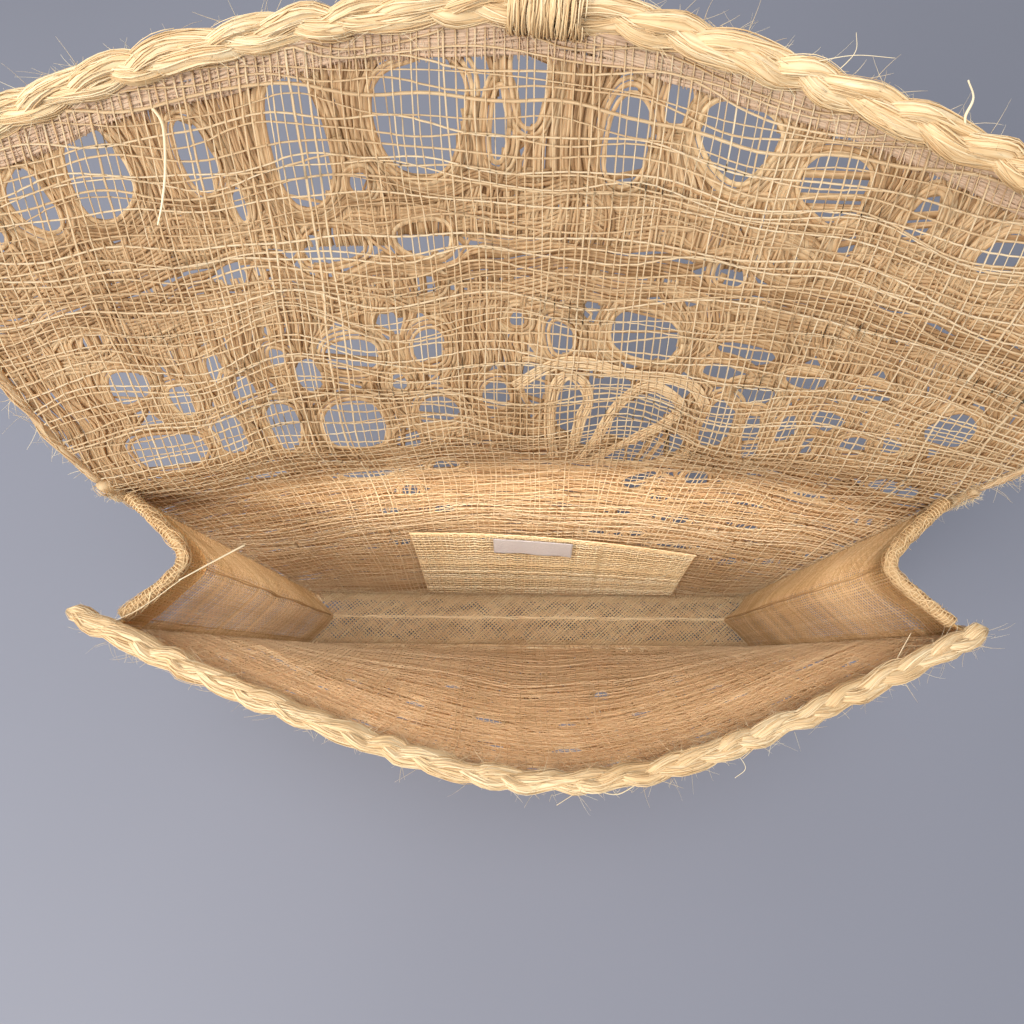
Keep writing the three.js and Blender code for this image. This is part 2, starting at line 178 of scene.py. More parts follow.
def back_sheet(x, t):
    """Back wall and flap as one sheet; past the fold it leans back and curls."""
    x, t = np.broadcast_arrays(np.asarray(x, float), np.asarray(t, float))
    u = x / back_width(t)
    v = np.minimum(t, BACK_HEIGHT) / PANEL_HEIGHT
    s = np.maximum(t - BACK_HEIGHT, 0)
    share = s / FLAP_LENGTH
    curl = (FLAP_TIP_LEAN - FLAP_ROOT_LEAN) / FLAP_LENGTH
    lean = FLAP_ROOT_LEAN + curl * s
    y = half_depth(v) + (math.cos(FLAP_ROOT_LEAN) - np.cos(lean)) / curl
    z = SEAM_LIFT + np.minimum(t, BACK_HEIGHT) + (np.sin(lean) - math.sin(FLAP_ROOT_LEAN)) / curl
    bow = mix(BACK_BOW * bow_rise(v), FLAP_TIP_BOW, share) * (1 - u * u)
    return np.stack([x, y + bow - FLAP_TWIST * u * share, z], -1)


class Wall:
    """A wall: its sheet, which way along y is out, its half width, its top, and the bare margin under it."""

    def __init__(self, sheet, outside, width, top, margin):
        self.sheet = sheet
        self.outside = outside
        self.width = width
        self.top = top
        self.margin = margin

    def normal(self, x, t):
        """The direction out of the bag."""
        step = 0.5
        across = self.sheet(x + step, t) - self.sheet(x - step, t)
        along = self.sheet(x, t + step) - self.sheet(x, np.maximum(t - step, 0))
        normal = unit(np.cross(across, along))
        return normal * np.where(normal[..., 1:2] * self.outside < 0, -1.0, 1.0)

    def at(self, x, t, depth):
        """Points at a depth outside the sewn line, and the outward direction there."""
        normal = self.normal(x, t)
        return self.sheet(x, t) + normal * np.asarray(depth)[..., None], normal

    def holds(self, x, t):
        return (np.abs(x) < self.width(t)) & (t > 1) & (t < self.top(x) - self.margin)

    def clamp(self, x, t):
        t = np.clip(t, 1, self.top(x) - self.margin)
        limit = self.width(t) - 0.3
        return np.clip(x, -limit, limit), t


FRONT = Wall(front_sheet, -1, front_width, front_top, 3)
BACK = Wall(back_sheet, 1, back_width, flap_top, 4)


# Seeded randomness
def random_source(seed):
    return np.random.default_rng(seed)


class Waves:
    """A smooth random field: a sum of sine waves that run in seeded directions."""

    def __init__(self, seed, shortest, longest, dimensions=2, count=14):
        rng = random_source(seed)
        direction = unit(rng.normal(size=(count, dimensions)))
        length = rng.uniform(shortest, longest, count)
        self.vectors = direction * (2 * math.pi / length)[:, None]
        self.phases = rng.uniform(0, 2 * math.pi, count)
        self.scale = math.sqrt(2 / count)

    def __call__(self, *coordinates):
        point = np.stack(np.broadcast_arrays(*coordinates), -1)
        return self.scale * np.sin(point @ self.vectors.T + self.phases).sum(-1)


def new_waves(rng, shortest, longest, *shape):
    return Waves(rng.integers(1 << 30), shortest, longest, *shape)


def uneven(start, stop, least, most, seed):
    """Places from start to stop, an uneven distance apart."""
    rng = random_source(seed)
    places = start + np.cumsum(rng.uniform(least, most, int(2 * (stop - start) / (least + most)) + 20))
    return places[places < stop]


def thread_size(width, spread, rng):
    """A thread's own half width; one in ten is half as thick again."""
    size = width * rng.uniform(1 - spread, 1 + spread)
    return size * 1.5 if rng.random() < 0.1 else size


# Strands
SHORTEST_RUN = 3


def runs(mask):
    """Stretches of true values in a row, as slices."""
    edges = np.flatnonzero(np.diff(np.concatenate([[0], mask.astype(int), [0]])))
    return [slice(a, b) for a, b in zip(edges[::2], edges[1::2]) if b - a >= SHORTEST_RUN]


def chessboard(shape):
    """Plus and minus one in turn, for threads that run over one and under the next."""
    return np.indices(shape).sum(0) % 2 * 2 - 1


class Strands:
    """Collects strands and makes one mesh of them."""

    def __init__(self):
        self.points = []
        self.faces = []
        self.fibre = []
        self.total = 0

    def add(self, path, up, width, height, sides, tone, taper=False):
        """A strand along path, half width across and half height along up."""
        count = len(path)
        tangent = unit(np.gradient(path, axis=0))
        across = unit(np.cross(up, tangent))
        over = np.cross(tangent, across)
        narrowing = np.sin(np.linspace(0.12, math.pi - 0.12, count)) ** 0.4 if taper else np.ones(count)
        angle = 2 * math.pi * (np.arange(sides) + 0.5) / sides
        rings = (path[:, None, :]
                 + across[:, None, :] * (np.cos(angle) * (width * narrowing)[:, None])[..., None]
                 + over[:, None, :] * (np.sin(angle) * (height * narrowing)[:, None])[..., None])
        fibre = np.empty(rings.shape)
        fibre[..., 0] = travelled(path)[:, None]
        fibre[..., 1] = np.arange(sides) / sides
        fibre[..., 2] = tone
        self.add_rings(rings, fibre)

    def add_rings(self, rings, fibre):
        """A skin over rings of points, closed at both ends, with each point's fibre values."""
        count, sides = rings.shape[:2]
        self.points.append(rings.reshape(-1, 3))
        self.fibre.append(fibre.reshape(-1, 3))
        start = self.total + sides * np.arange(count - 1)[:, None]
        k = np.arange(sides)
        after = (k + 1) % sides
        quads = np.stack([start + k, start + after, start + sides + after, start + sides + k], -1)
        self.faces.extend(map(tuple, quads.reshape(-1, 4).tolist()))
        last = self.total + sides * (count - 1)
        self.faces.append(tuple(range(self.total + sides - 1, self.total - 1, -1)))
        self.faces.append(tuple(range(last, last + sides)))
        self.total += count * sides

    def make(self, name, material):
        mesh = bpy.data.meshes.new(name)
        place = (np.concatenate(self.points) + ORIGIN) * MM
        mesh.from_pydata(place.tolist(), [], self.faces)
        attribute = mesh.attributes.new("fibre", "FLOAT_VECTOR", "POINT")
        attribute.data.foreach_set("vector", np.concatenate(self.fibre).astype(np.float32).ravel())
        mesh.polygons.foreach_set("use_smooth", [True] * len(mesh.polygons))
        mesh.materials.append(material)
        mesh.update()
        piece = bpy.data.objects.new(name, mesh)
        bpy.context.scene.collection.objects.link(piece)
        return piece


# Materials
class Look:
    """A material and its nodes; place is the object's own coordinates."""

    def __init__(self, name):
        self.material = bpy.data.materials.new(name)
        self.material.use_nodes = True
        self.nodes = self.material.node_tree.nodes
        self.shader = self.nodes["Principled BSDF"]
        self.place = self.node("TexCoord", {}).outputs["Object"]

    def feed(self, node, inputs):
        """Gives each input its value, or the output that drives it."""
        for key, source in inputs.items():
            if isinstance(source, bpy.types.NodeSocket):
                self.material.node_tree.links.new(source, node.inputs[key])
            else:
                node.inputs[key].default_value = source

    def node(self, kind, inputs, **settings):
        node = self.nodes.new("ShaderNode" + kind)
        for name, value in settings.items():
            setattr(node, name, value)
        self.feed(node, inputs)
        return node

    def stretch(self, place, scale):
        return self.node("VectorMath", {0: place, 1: scale}, operation="MULTIPLY").outputs[0]

    def noise(self, place, scale, detail, roughness=0.5):
        inputs = {"Vector": place, "Scale": scale, "Detail": detail, "Roughness": roughness}
        return self.node("TexNoise", inputs).outputs["Fac"]

    def bump(self, height, distance, strength=1.0):
        inputs = {"Height": height, "Distance": distance, "Strength": strength}
        return self.node("Bump", inputs).outputs["Normal"]

    def add_share(self, source, share, other):
        return self.node("Math", {0: source, 1: share, 2: other}, operation="MULTIPLY_ADD").outputs[0]

    def ramp(self, source, *stops):
        """A colour that follows source through stops, each a place and its colour."""
        node = self.node("ValToRGB", {"Fac": source})
        elements = node.color_ramp.elements
        elements[0].position = stops[0][0]
        elements[1].position = stops[-1][0]
        for place, _ in stops[1:-1]:
            elements.new(place)
        for element, (_, colour) in zip(elements, stops):
            element.color = (*colour, 1.0)
        return node.outputs["Color"]


STREAK_STRETCH = (0.09, 9.0, 61.0)
STREAK_DEPTH = 0.00008
WEAVE_DEPTH = 0.0001
RIBBON_COLOUR = (0.5, 0.44, 0.42)


def strand_material(name, dark, middle, pale, roughness, glow):
    """Plant fibre: each strand has its own tone, with fine streaks that run along it."""
    look = Look(name)
    fibre = look.node("Attribute", {}, attribute_name="fibre").outputs["Vector"]
    own = look.node("SeparateXYZ", {0: fibre}).outputs["Z"]
    streaks = look.noise(look.stretch(fibre, STREAK_STRETCH), 1.0, 3.0, 0.6)
    patches = look.noise(look.place, 26.0, 2.0)
    total = look.add_share(patches, 0.5, look.add_share(own, 0.42, streaks))
    span = look.node("MapRange", {"Value": total, "From Min": 0.35, "From Max": 1.45})
    colour = look.ramp(span.outputs[0], (0.18, dark), (0.5, middle), (0.82, pale))
    rough = look.node("MapRange", {"Value": streaks, "To Min": roughness - 0.08, "To Max": roughness + 0.12})
    normal = look.bump(streaks, STREAK_DEPTH, 0.8)
    look.shader.inputs["Base Color"].default_value = (*middle, 1.0)
    look.feed(look.shader, {"Base Color": colour, "Roughness": rough.outputs[0], "Normal": normal,
                            "Specular IOR Level": 0.4})
    through = look.node("BsdfTranslucent", {"Color": colour, "Normal": normal})
    both = look.node("MixShader", {"Fac": glow, 1: look.shader.outputs[0], 2: through.outputs[0]})
    look.feed(look.nodes["Material Output"], {"Surface": both.outputs[0]})
    return look.material


def ribbon_material():
    look = Look("blank_ribbon")
    shade = [0.86 * part for part in RIBBON_COLOUR]
    weave = look.node("TexChecker", {"Vector": look.place, "Scale": 2600, "Color1": (*shade, 1.0),
                                     "Color2": (*RIBBON_COLOUR, 1.0)})
    normal = look.bump(weave.outputs["Fac"], WEAVE_DEPTH)
    look.feed(look.shader, {"Base Color": weave.outputs["Color"], "Normal": normal, "Roughness": 0.6,
                            "Sheen Weight": 0.2})
    return look.material


def wood_material():
    look = Look("turned_wood")
    grain = look.noise(look.stretch(look.place, (60, 700, 900)), 1.0, 5.0)
    colour = look.ramp(grain, (0.3, (0.12, 0.055, 0.022)), (0.7, (0.33, 0.18, 0.08)))
    normal = look.bump(grain, WEAVE_DEPTH)
    look.feed(look.shader, {"Base Color": colour, "Normal": normal, "Roughness": 0.38, "Coat Weight": 0.25})
    return look.material


def floor_material():
    look = Look("pale_floor")
    mottle = look.noise(look.place, 3.0, 2.0)
    colour = look.ramp(mottle, (0.3, (0.162, 0.168, 0.204)), (0.7, (0.174, 0.18, 0.219)))
    look.feed(look.shader, {"Base Color": colour, "Roughness": 0.7})
    return look.material


# Each fibre's dark, middle and pale tone, its roughness, and the share of light that passes through
FIBRE_TONES = {
    # flat_straw: tone varies at random from straw to straw; its dark stop also carries the painted shade of
    # the outer straw layer.
    "flat_straw": ((0.38, 0.2, 0.08), (0.72, 0.49, 0.26), (0.9, 0.71, 0.44), 0.5, 0.5),
    "front_straw": ((0.67, 0.46, 0.25), (0.8, 0.58, 0.34), (0.89, 0.69, 0.43), 0.55, 0.5),
    "front_thread": ((0.66, 0.47, 0.26), (0.8, 0.6, 0.37), (0.9, 0.72, 0.48), 0.6, 0.5),
    "plaited_straw": ((0.62, 0.39, 0.18), (0.82, 0.59, 0.32), (0.94, 0.79, 0.53), 0.5, 0.25),
    "petal_ribbon": ((0.7, 0.48, 0.25), (0.8, 0.58, 0.33), (0.88, 0.69, 0.43), 0.55, 0.4),
    "gauze_thread": ((0.67, 0.46, 0.25), (0.84, 0.65, 0.4), (0.95, 0.82, 0.6), 0.6, 0.5),
    "pocket_thread": ((0.76, 0.52, 0.27), (0.9, 0.69, 0.4), (0.97, 0.84, 0.6), 0.6, 0.35),
    "gusset_thread": ((0.54, 0.33, 0.14), (0.71, 0.48, 0.24), (0.87, 0.66, 0.39), 0.65, 0.55),
    # The crease threads' dark tones are painted shade of the gusset's fold.
    "crease_painted_shade": ((0.36, 0.2, 0.08), (0.5, 0.3, 0.13), (0.62, 0.4, 0.2), 0.65, 0.4),
    "base_thread": ((0.66, 0.45, 0.24), (0.83, 0.62, 0.37), (0.94, 0.79, 0.54), 0.65, 0.5),
    "hem_thread": ((0.7, 0.39, 0.13), (0.9, 0.56, 0.22), (0.97, 0.72, 0.37), 0.6, 0.4),
    "rolled_edge": ((0.62, 0.4, 0.18), (0.8, 0.57, 0.3), (0.93, 0.75, 0.46), 0.6, 0.4),
    "selvage_thread": ((0.66, 0.46, 0.3), (0.77, 0.57, 0.4), (0.86, 0.69, 0.5), 0.65, 0.5),
    "loose_fibre": ((0.75, 0.56, 0.32), (0.88, 0.72, 0.47), (0.95, 0.87, 0.66), 0.5, 0.3),
}

looks = {name: strand_material(name, *tones) for name, tones in FIBRE_TONES.items()}
looks["blank_ribbon"] = ribbon_material()
looks["turned_wood"] = wood_material()


def bend_at_fold(piece):
    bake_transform(piece)


def bend_with_mouth(piece):
    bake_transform(piece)


def finish_piece(strands, name, look, hold, slot, *nodes):
    """Makes a piece; hold is the body that it rides on, or a function that is called on the piece instead."""
    piece = strands.make(name, looks[look])
    if callable(hold):
        hold(piece)
    else:
        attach(piece, hold)
    if nodes:
        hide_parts(*nodes)


# Gauze: two sets of loosely woven threads
GAUZE_SPACING = 2.35
GAUZE_DEPTH = -0.7
GAUZE_WEAVE = 0.17
GAUZE_WIDTHS = {"upright": 0.24, "level": 0.3}


def gauze_grid(half_count, t_values, bunch, wander, seed):
    """Crossing places of upright threads i with level threads j; bunch and wander are (x, t) pairs."""
    x_values = np.arange(-half_count, half_count + 1) * GAUZE_SPACING
    x, t = np.meshgrid(x_values, t_values, indexing="ij")
    drift_x = Waves(seed, 70, 160)
    drift_t = Waves(seed + 1, 45, 130)
    own_x = Waves(seed + 2, 30, 90)
    own_t = Waves(seed + 3, 22, 80)
    rng = random_source(seed + 4)
    i = rng.uniform(0, 4000, len(x_values))[:, None]
    j = rng.uniform(0, 4000, len(t_values))[None, :]
    across = x + bunch[0] * drift_x(x, t) + wander[0] * own_x(i, t)
    along = t + bunch[1] * drift_t(x, t) + wander[1] * own_t(x, j)
    return across, along


def gauze_threads(strands, wall, grid, which, seed):
    """Threads through the crossings, over one and under the next."""
    across, along = grid
    lift = GAUZE_WEAVE * chessboard(across.shape)
    mask = wall.holds(across, along)
    rng = random_source(seed)
    if which == "level":
        across, along, mask, lift = across.T, along.T, mask.T, -lift.T
    for n in range(len(across)):
        wide = mask[n].copy()
        wide[1:] |= mask[n][:-1]
        wide[:-1] |= mask[n][1:]
        size = thread_size(GAUZE_WIDTHS[which], 0.3, rng)
        tone = rng.random()
        for piece in runs(wide):
            x, t = wall.clamp(across[n][piece], along[n][piece])
            place, up = wall.at(x, t, GAUZE_DEPTH + lift[n][piece])
            strands.add(place, up, size, size * 0.62, 3, tone)


def back_gauze():
    grid = gauze_grid(72, uneven(-4, 304, 1.2, 3.7, 12), bunch=(1.0, 2.5), wander=(0.3, 0.85), seed=11)
    for which in GAUZE_WIDTHS:
        strands = Strands()
        gauze_threads(strands, BACK, grid, which, 21)
        finish_piece(strands, f"back_gauze_{which}", "gauze_thread", bend_at_fold, "gauze",
                     "back_gauze_lining", "flap_gauze_lining")


def front_gauze():
    grid = gauze_grid(65, uneven(-5, 172, 1.3, 3.4, 32), bunch=(0.8, 1.8), wander=(0.25, 0.5), seed=31)
    strands = Strands()
    for which in GAUZE_WIDTHS:
        gauze_threads(strands, FRONT, grid, which, 41)
    finish_piece(strands, "front_gauze", "front_thread", "front_panel", "gauze", "front_gauze_lining")


# Windows of the straw openwork
class Window:
    """A rounded, slightly uneven opening: x across, t up, half sizes, and its lean in degrees."""

    POWER = 2.4

    def __init__(self, x, t, across, along, lean=0.0):
        self.x = x
        self.t = t
        self.across = across
        self.along = along
        self.lean = math.radians(lean)
        rng = random_source(abs(round(97 * x + 31 * t)))
        self.phase = rng.uniform(0, 2 * math.pi, 2)
        self.bulge = rng.uniform(0.02, 0.1, 2)

    def reach(self, angle):
        """How far the edge lies from the middle, as a share of the half sizes."""
        corner = np.abs(np.cos(angle)) ** self.POWER + np.abs(np.sin(angle)) ** self.POWER
        wave = self.bulge[0] * np.sin(2 * angle + self.phase[0])
        wave = wave + self.bulge[1] * np.sin(3 * angle + self.phase[1])
        return corner ** (-1 / self.POWER) * (1 + wave)

    def outline(self, grow, count):
        angle = np.linspace(0, 2 * math.pi, count)
        reach = self.reach(angle)
        a = (self.across + grow) * np.cos(angle) * reach
        b = (self.along + grow) * np.sin(angle) * reach
        x = self.x + a * math.cos(self.lean) - b * math.sin(self.lean)
        t = self.t + a * math.sin(self.lean) + b * math.cos(self.lean)
        return x, t

    def holds(self, x, t, grow):
        inside = np.zeros(np.shape(x), bool)
        limit = 1.3 * (max(self.across, self.along) + grow)
        near = (np.abs(x - self.x) < limit) & (np.abs(t - self.t) < limit)
        dx = x[near] - self.x
        dt = t[near] - self.t
        a = (dx * math.cos(self.lean) + dt * math.sin(self.lean)) / (self.across + grow)
        b = (-dx * math.sin(self.lean) + dt * math.cos(self.lean)) / (self.along + grow)
        inside[near] = np.hypot(a, b) < self.reach(np.arctan2(b, a))
        return inside


def openings(*rows):
    return [Window(*row) for row in rows]


def any_holds(windows, x, t, grow):
    inside = np.zeros(np.shape(x), bool)
    for window in windows:
        inside |= window.holds(x, t, grow)
    return inside


def part_round(height, run, windows, edge, swap=False):
    """Moves level strands, given as heights over run, off each window; swap does it for upright ones."""
    for window in windows:
        middle, level, reach, rise = window.x, window.t, window.across, window.along
        if swap:
            middle, level, reach, rise = level, middle, rise, reach
        near = np.exp(-(np.abs(run - middle) / (reach + 3)) ** 3 * 0.8)
        offset = height - level
        side = np.where(offset < 0, -1.0, 1.0)
        height = level + side * np.sqrt(offset ** 2 + ((rise + edge) * near) ** 2)
    return height


LOWER_ROWS = openings(
    (-65, 150, 11, 3.5, -4), (-51, 130, 3.5, 6), (-63, 110, 4.3, 4), (-35, 153, 6, 4), (-39, 108, 5, 4.5),
    (64, 148, 5.5, 7), (53, 124, 4, 4), (40, 106, 3.5, 4), (64, 103, 6.5, 5.5), (31, 82, 3.5, 3),
    (49, 83, 4.5, 4), (70, 72, 9, 3.5, -8), (99, 57, 4.5, 7), (117, 64, 2.5, 6), (130, 82, 3, 4),
    (137, 132, 2.2, 4), (-63, 73, 4.5, 5), (132, 166, 10, 7, -6), (42, 144, 3, 9, -40), (90, 128, 6, 2.5),
    (108, 146, 6, 2.5), (96, 104, 6, 3), (-100, 160, 6, 2),
)

MIDDLE_ROWS = openings(
    (-127, 184, 13, 7.5, -6), (-106, 187, 6, 7, 12), (-87, 188, 5.5, 9, 6), (-63, 185, 11, 11),
    (-46, 177, 5, 6), (-34, 190, 8, 5.5, 8), (-14, 196, 5, 6, 12), (-1, 201, 4, 9, 10), (62, 188, 6, 11),
    (75, 182, 3.5, 14, 10), (71, 203, 7, 4.5), (85, 190, 3, 7.5), (96, 197, 6, 5, -14),
    (95, 181, 1.6, 7, 4), (108, 187, 5, 5.5), (119, 191, 4, 4.5), (133, 203, 7, 8, -20),
    (-132, 209, 6, 5.5), (-104, 211, 2.2, 5.5), (-117, 202, 3.5, 5.5, 12), (-84, 213, 2.5, 3.5),
    (-97, 202, 4, 6.5, 10), (-75, 206, 4, 6, 12), (-60, 212, 9.5, 5.5), (-46, 222, 3, 2),
    (-46, 202, 2.5, 3), (-35, 214, 5.5, 6), (-7, 224, 2.3, 2.3), (7, 218, 4, 6), (17, 228, 1.8, 3),
    (33, 221, 11, 8, -6), (65, 219, 9, 3.5, -6), (60, 211, 8, 3, -4), (85, 212, 6.5, 3.5, -4),
    (105, 211, 6, 4, 8), (48, 203, 3, 2),
)

UPPER_ROWS = openings(
    (-61, 245, 9, 4.5, 8), (-34, 247, 8, 4.5, 4), (-36, 234, 6.5, 3), (47, 254, 3, 2), (69, 250, 6, 3, -6),
    (54, 244, 4, 4), (44, 232, 10, 1.6, -16), (59, 261, 3.5, 3.5), (-139, 224, 6, 2.5, 10),
    (118, 226, 5, 2), (-90, 240, 4, 2), (10, 250, 4, 1.8),
)

TOP_ROW = openings(
    (-156, 258, 4, 7, 34), (-140, 262, 5, 8, 28), (-121, 266, 8.5, 9.5, 24), (-94, 268, 4.5, 9, 12),
    (-85, 257, 2.2, 4.5, 10), (-66, 270, 8, 14.5, 8), (-51, 261, 2.5, 2.5), (-33, 276, 12, 12.5, 4),
    (-17, 288, 2, 5), (-12, 275, 2.4, 8, -6), (-4, 285, 4.8, 9), (22, 274, 6, 10, -14),
    (34, 285, 3.5, 6, -8), (50, 278, 10, 8.5, -26), (76, 271, 8, 9, -14), (83, 258, 2.4, 4),
    (99, 268, 3.4, 7, -14), (121, 264, 5, 6.5, -24), (139, 260, 5, 6.5, -28), (156, 254, 4, 6, -34),
)

# The flower's own openings, each in a loop of cord
PETALS = openings(
    (10.5, 192, 3.2, 10, -2), (24, 198, 5.5, 5.5, -10), (19, 184, 3, 13, -14), (36, 189, 5.2, 12.5, -40),
    (40, 169, 4.6, 14, -50),
)

# The cords of the flower's petals, as x and t along each
PETAL_RIBBONS = [
    [(7, 160), (5, 176), (4.5, 190), (6, 201), (10, 205), (15, 202), (17, 195), (15, 186), (12.5, 167)],
    [(16, 156), (20, 172), (25, 189), (30, 198), (36, 203), (43, 201), (48, 195), (44, 187), (35, 179),
     (28, 170), (21, 157)],
    [(21, 157), (33, 157), (43, 159), (52, 165), (57, 176)],
    [(-8, 200), (0, 206), (8, 210), (17, 210), (25, 208), (34, 207), (43, 207), (51, 204), (56, 197)],
]

# The front's long slanted openings near its left corner
CORNER_WINDOWS = openings((-126, 104, 13, 2.4, 27), (-114, 92, 21, 3, 40), (-127, 28, 5, 3, 60))

# Rows of ovals on the front: their level, their count and their half sizes
FRONT_ROWS = ((146, 9, 6, 3.2), (118, 8, 7, 2.6), (92, 8, 6, 2.4), (60, 7, 5, 2))


def front_windows():
    """The front's openwork follows the back's order: rows of ovals about a half flower."""
    rng = random_source(81)
    windows = list(CORNER_WINDOWS)
    for level, count, across, along in FRONT_ROWS:
        for n in range(count):
            x = mix(-1, 1, (n + 0.5) / count) * front_width(level) * 0.94
            window = Window(x + rng.uniform(-2, 2), level + arc(x, 0, 500) + rng.uniform(-2, 2),
                            across * rng.uniform(0.75, 1.1), along * rng.uniform(0.75, 1.1))
            if x > -90 or level > 130:
                windows.append(window)
    return windows


# Straw openwork: strands part round windows, as cords do
STRAW_NEAR = 0.45
STRAW_FAR = 1.85
STRAW_PITCH = 1.15
STRAW_WIDTH = 0.64
STRAW_THICKNESS = 0.17
BAND_WIDTH = 1.3
BAND_PITCH = 2.7
RAY_WIDTH = 1.4
RAY_GAP = (0.3, 1.5)
RAY_FEET = np.arange(-170.9, 174, 2.2)[:, None]
NEAR_LAYER = (0.6, 1.2)
FAR_LAYER = (1.35, 1.8)
FRONT_LAYER = (0.85, 1.1)
BEND = (5, 900)
LOWER_BEND = (5, 620)
LOWER_FADE = (176, 198)
FRONT_BEND = (0, 500)
LOOP_WIDTH = 0.85
LOOP_STEP = 1.3
WINDOW_OVERLAP = -0.3
PETAL_CLEAR = 1.4


def arc(x, centre, radius):
    return -((x - centre) ** 2) / (2 * radius)


def ribbons(start, stop, rng, straws=(3, 5), gap=(0.2, 0.9)):
    """Places of straws that lie side by side in ribbons, with a narrow slit after each ribbon."""
    found = []
    place = start
    while place < stop:
        count = rng.integers(straws[0], straws[1] + 1)
        found.append(place + STRAW_PITCH * np.arange(count))
        place += STRAW_PITCH * count + rng.uniform(*gap)
    return found


class Openwork:
    """Straw on a wall that parts at windows and lies only where allow lets it."""

    def __init__(self, wall, windows, allow, rng):
        self.wall = wall
        self.windows = windows
        self.allow = allow
        self.rng = rng
        self.strands = Strands()

    def straw(self, x, t, mask, width, layer, share, spread=0.09):
        """One flat straw along x and t within mask; share sets its tone and its depth in the layer; straws of
        the outer layer are painted darker as painted shade.
        """
        rng = self.rng
        # Painted shade: outer-layer straws are made darker so the slits between near straws read as shadow.
        painted_far_shade = 0.35 if layer == FAR_LAYER else 0.0
        tone = np.clip(share - painted_far_shade + spread * rng.normal(), 0, 1)
        size = width * rng.uniform(0.88, 1.14)
        base = mix(*layer, np.clip(share + 0.3 * rng.normal(), 0, 1))
        wobble = new_waves(rng, 20, 60, 1, 4)
        for piece in runs(mask):
            depth = np.clip(base + 0.18 * wobble(x[piece] + t[piece]), STRAW_NEAR, STRAW_FAR)
            place, up = self.wall.at(x[piece], t[piece], depth)
            self.strands.add(place, up, size, STRAW_THICKNESS, 4, tone)

    def level(self, found, bend, width, layer, fade=None, contrast=1.0):
        """Straws that run from edge to edge in shallow arcs; fade thins them out upward."""
        rng = self.rng
        across = np.linspace(-1, 1, 90)
        sway = new_waves(rng, 40, 150)
        for ribbon in found:
            if fade and rng.random() > (fade[1] - ribbon[0]) / (fade[1] - fade[0]):
                continue
            own = new_waves(rng, 25, 80, 1, 5)
            share = np.clip(0.58 + 0.2 * contrast * rng.normal(), 0.1, 1)
            for level in ribbon:
                x = across * self.wall.width(level + arc(160 * across, *bend))
                flat = level + arc(x, *bend) + 1.6 * sway(x, ribbon[0]) + 0.4 * own(x)
                t = part_round(flat, x, self.windows, 1.4)
                x = across * (self.wall.width(t) - 0.4)
                self.straw(x, t, self.allow(x, t), width, layer, share, 0.09 * contrast)

    def upright(self, found, low, high, fan, width, layer, ragged):
        """Straws that stand up the wall, fanned out a little, with ragged ends."""
        rng = self.rng
        t = np.arange(low, high, 2.8)
        sway = new_waves(rng, 30, 90)
        for ribbon in found:
            own = new_waves(rng, 16, 50, 1, 4)
            ends = rng.uniform(-ragged, ragged, 2)
            share = np.clip(0.58 + 0.2 * rng.normal(), 0.1, 1)
            for foot in ribbon:
                x = foot * (1 + (t - (low + high) / 2) * fan) + 0.9 * sway(ribbon[0], t) + 0.35 * own(t)
                x = part_round(x, t, self.windows, 0.9, swap=True)
                mask = self.allow(x, t) & (t > low + ragged + ends[0]) & (t < high - ragged + ends[1])
                self.straw(x, t, mask, width, layer, share)

    def loops(self, windows, turns=2):
        """Straws laid round the edge of each window, as one flat cord."""
        rng = self.rng
        for window in windows:
            if min(window.across, window.along) < 2.2:
                continue
            for turn in range(turns):
                grow = 0.4 + LOOP_STEP * turn + rng.uniform(-0.25, 0.25)
                x, t = window.outline(grow, max(24, int(window.across + window.along) * 2))
                place, up = self.wall.at(x, t, 0.5 + 0.22 * turn + 0.08 * rng.normal())
                width = LOOP_WIDTH * rng.uniform(0.85, 1.15)
                self.strands.add(place, up, width, 0.26, 4, rng.uniform(0.25, 1))


def back_allows(windows, low, high, clear=()):
    """Where straw may lie: between two arcs, within the seams, off the windows, well off the clear ones."""

    def allow(x, t):
        rise = t - arc(x, *BEND)
        sewn = (np.abs(x) < back_width(t)) & (t > 0.4) & (t < flap_top(x) - 4.2)
        cut = any_holds(windows, x, t, WINDOW_OVERLAP) | any_holds(clear, x, t, PETAL_CLEAR)
        return sewn & (rise > low) & (rise < high) & ~cut

    return allow


def rays(windows, allow, rng, low, high, fan):
    """Two layers of straws that stand up the back's sheet, and cords round their windows."""
    work = Openwork(BACK, windows, allow, rng)
    near = ribbons(-172, 173, rng, (2, 4), RAY_GAP)
    work.upright(near, low, high, fan, STRAW_WIDTH, NEAR_LAYER, 8)
    work.upright(RAY_FEET, low, high, fan, RAY_WIDTH, FAR_LAYER, 8)
    work.loops(windows, 3)
    return work.strands


def petal_ribbon(strands, knots, rng):
    """A smooth flat ribbon of pale straws along its knots, on the side that faces the gauze."""
    path = smooth(knots, 9 * len(knots))
    along = unit(np.gradient(path, axis=0))
    for straw in range(5):
        beside = 0.8 * (straw - 2) + 0.12 * new_waves(rng, 14, 50, 1, 4)(np.arange(len(path)))
        x = path[:, 0] - along[:, 1] * beside
        t = path[:, 1] + along[:, 0] * beside
        place, up = BACK.at(x, t, -0.1 + 0.08 * rng.normal())
        strands.add(place, up, 0.56, 0.2, 4, rng.uniform(0.6, 1))


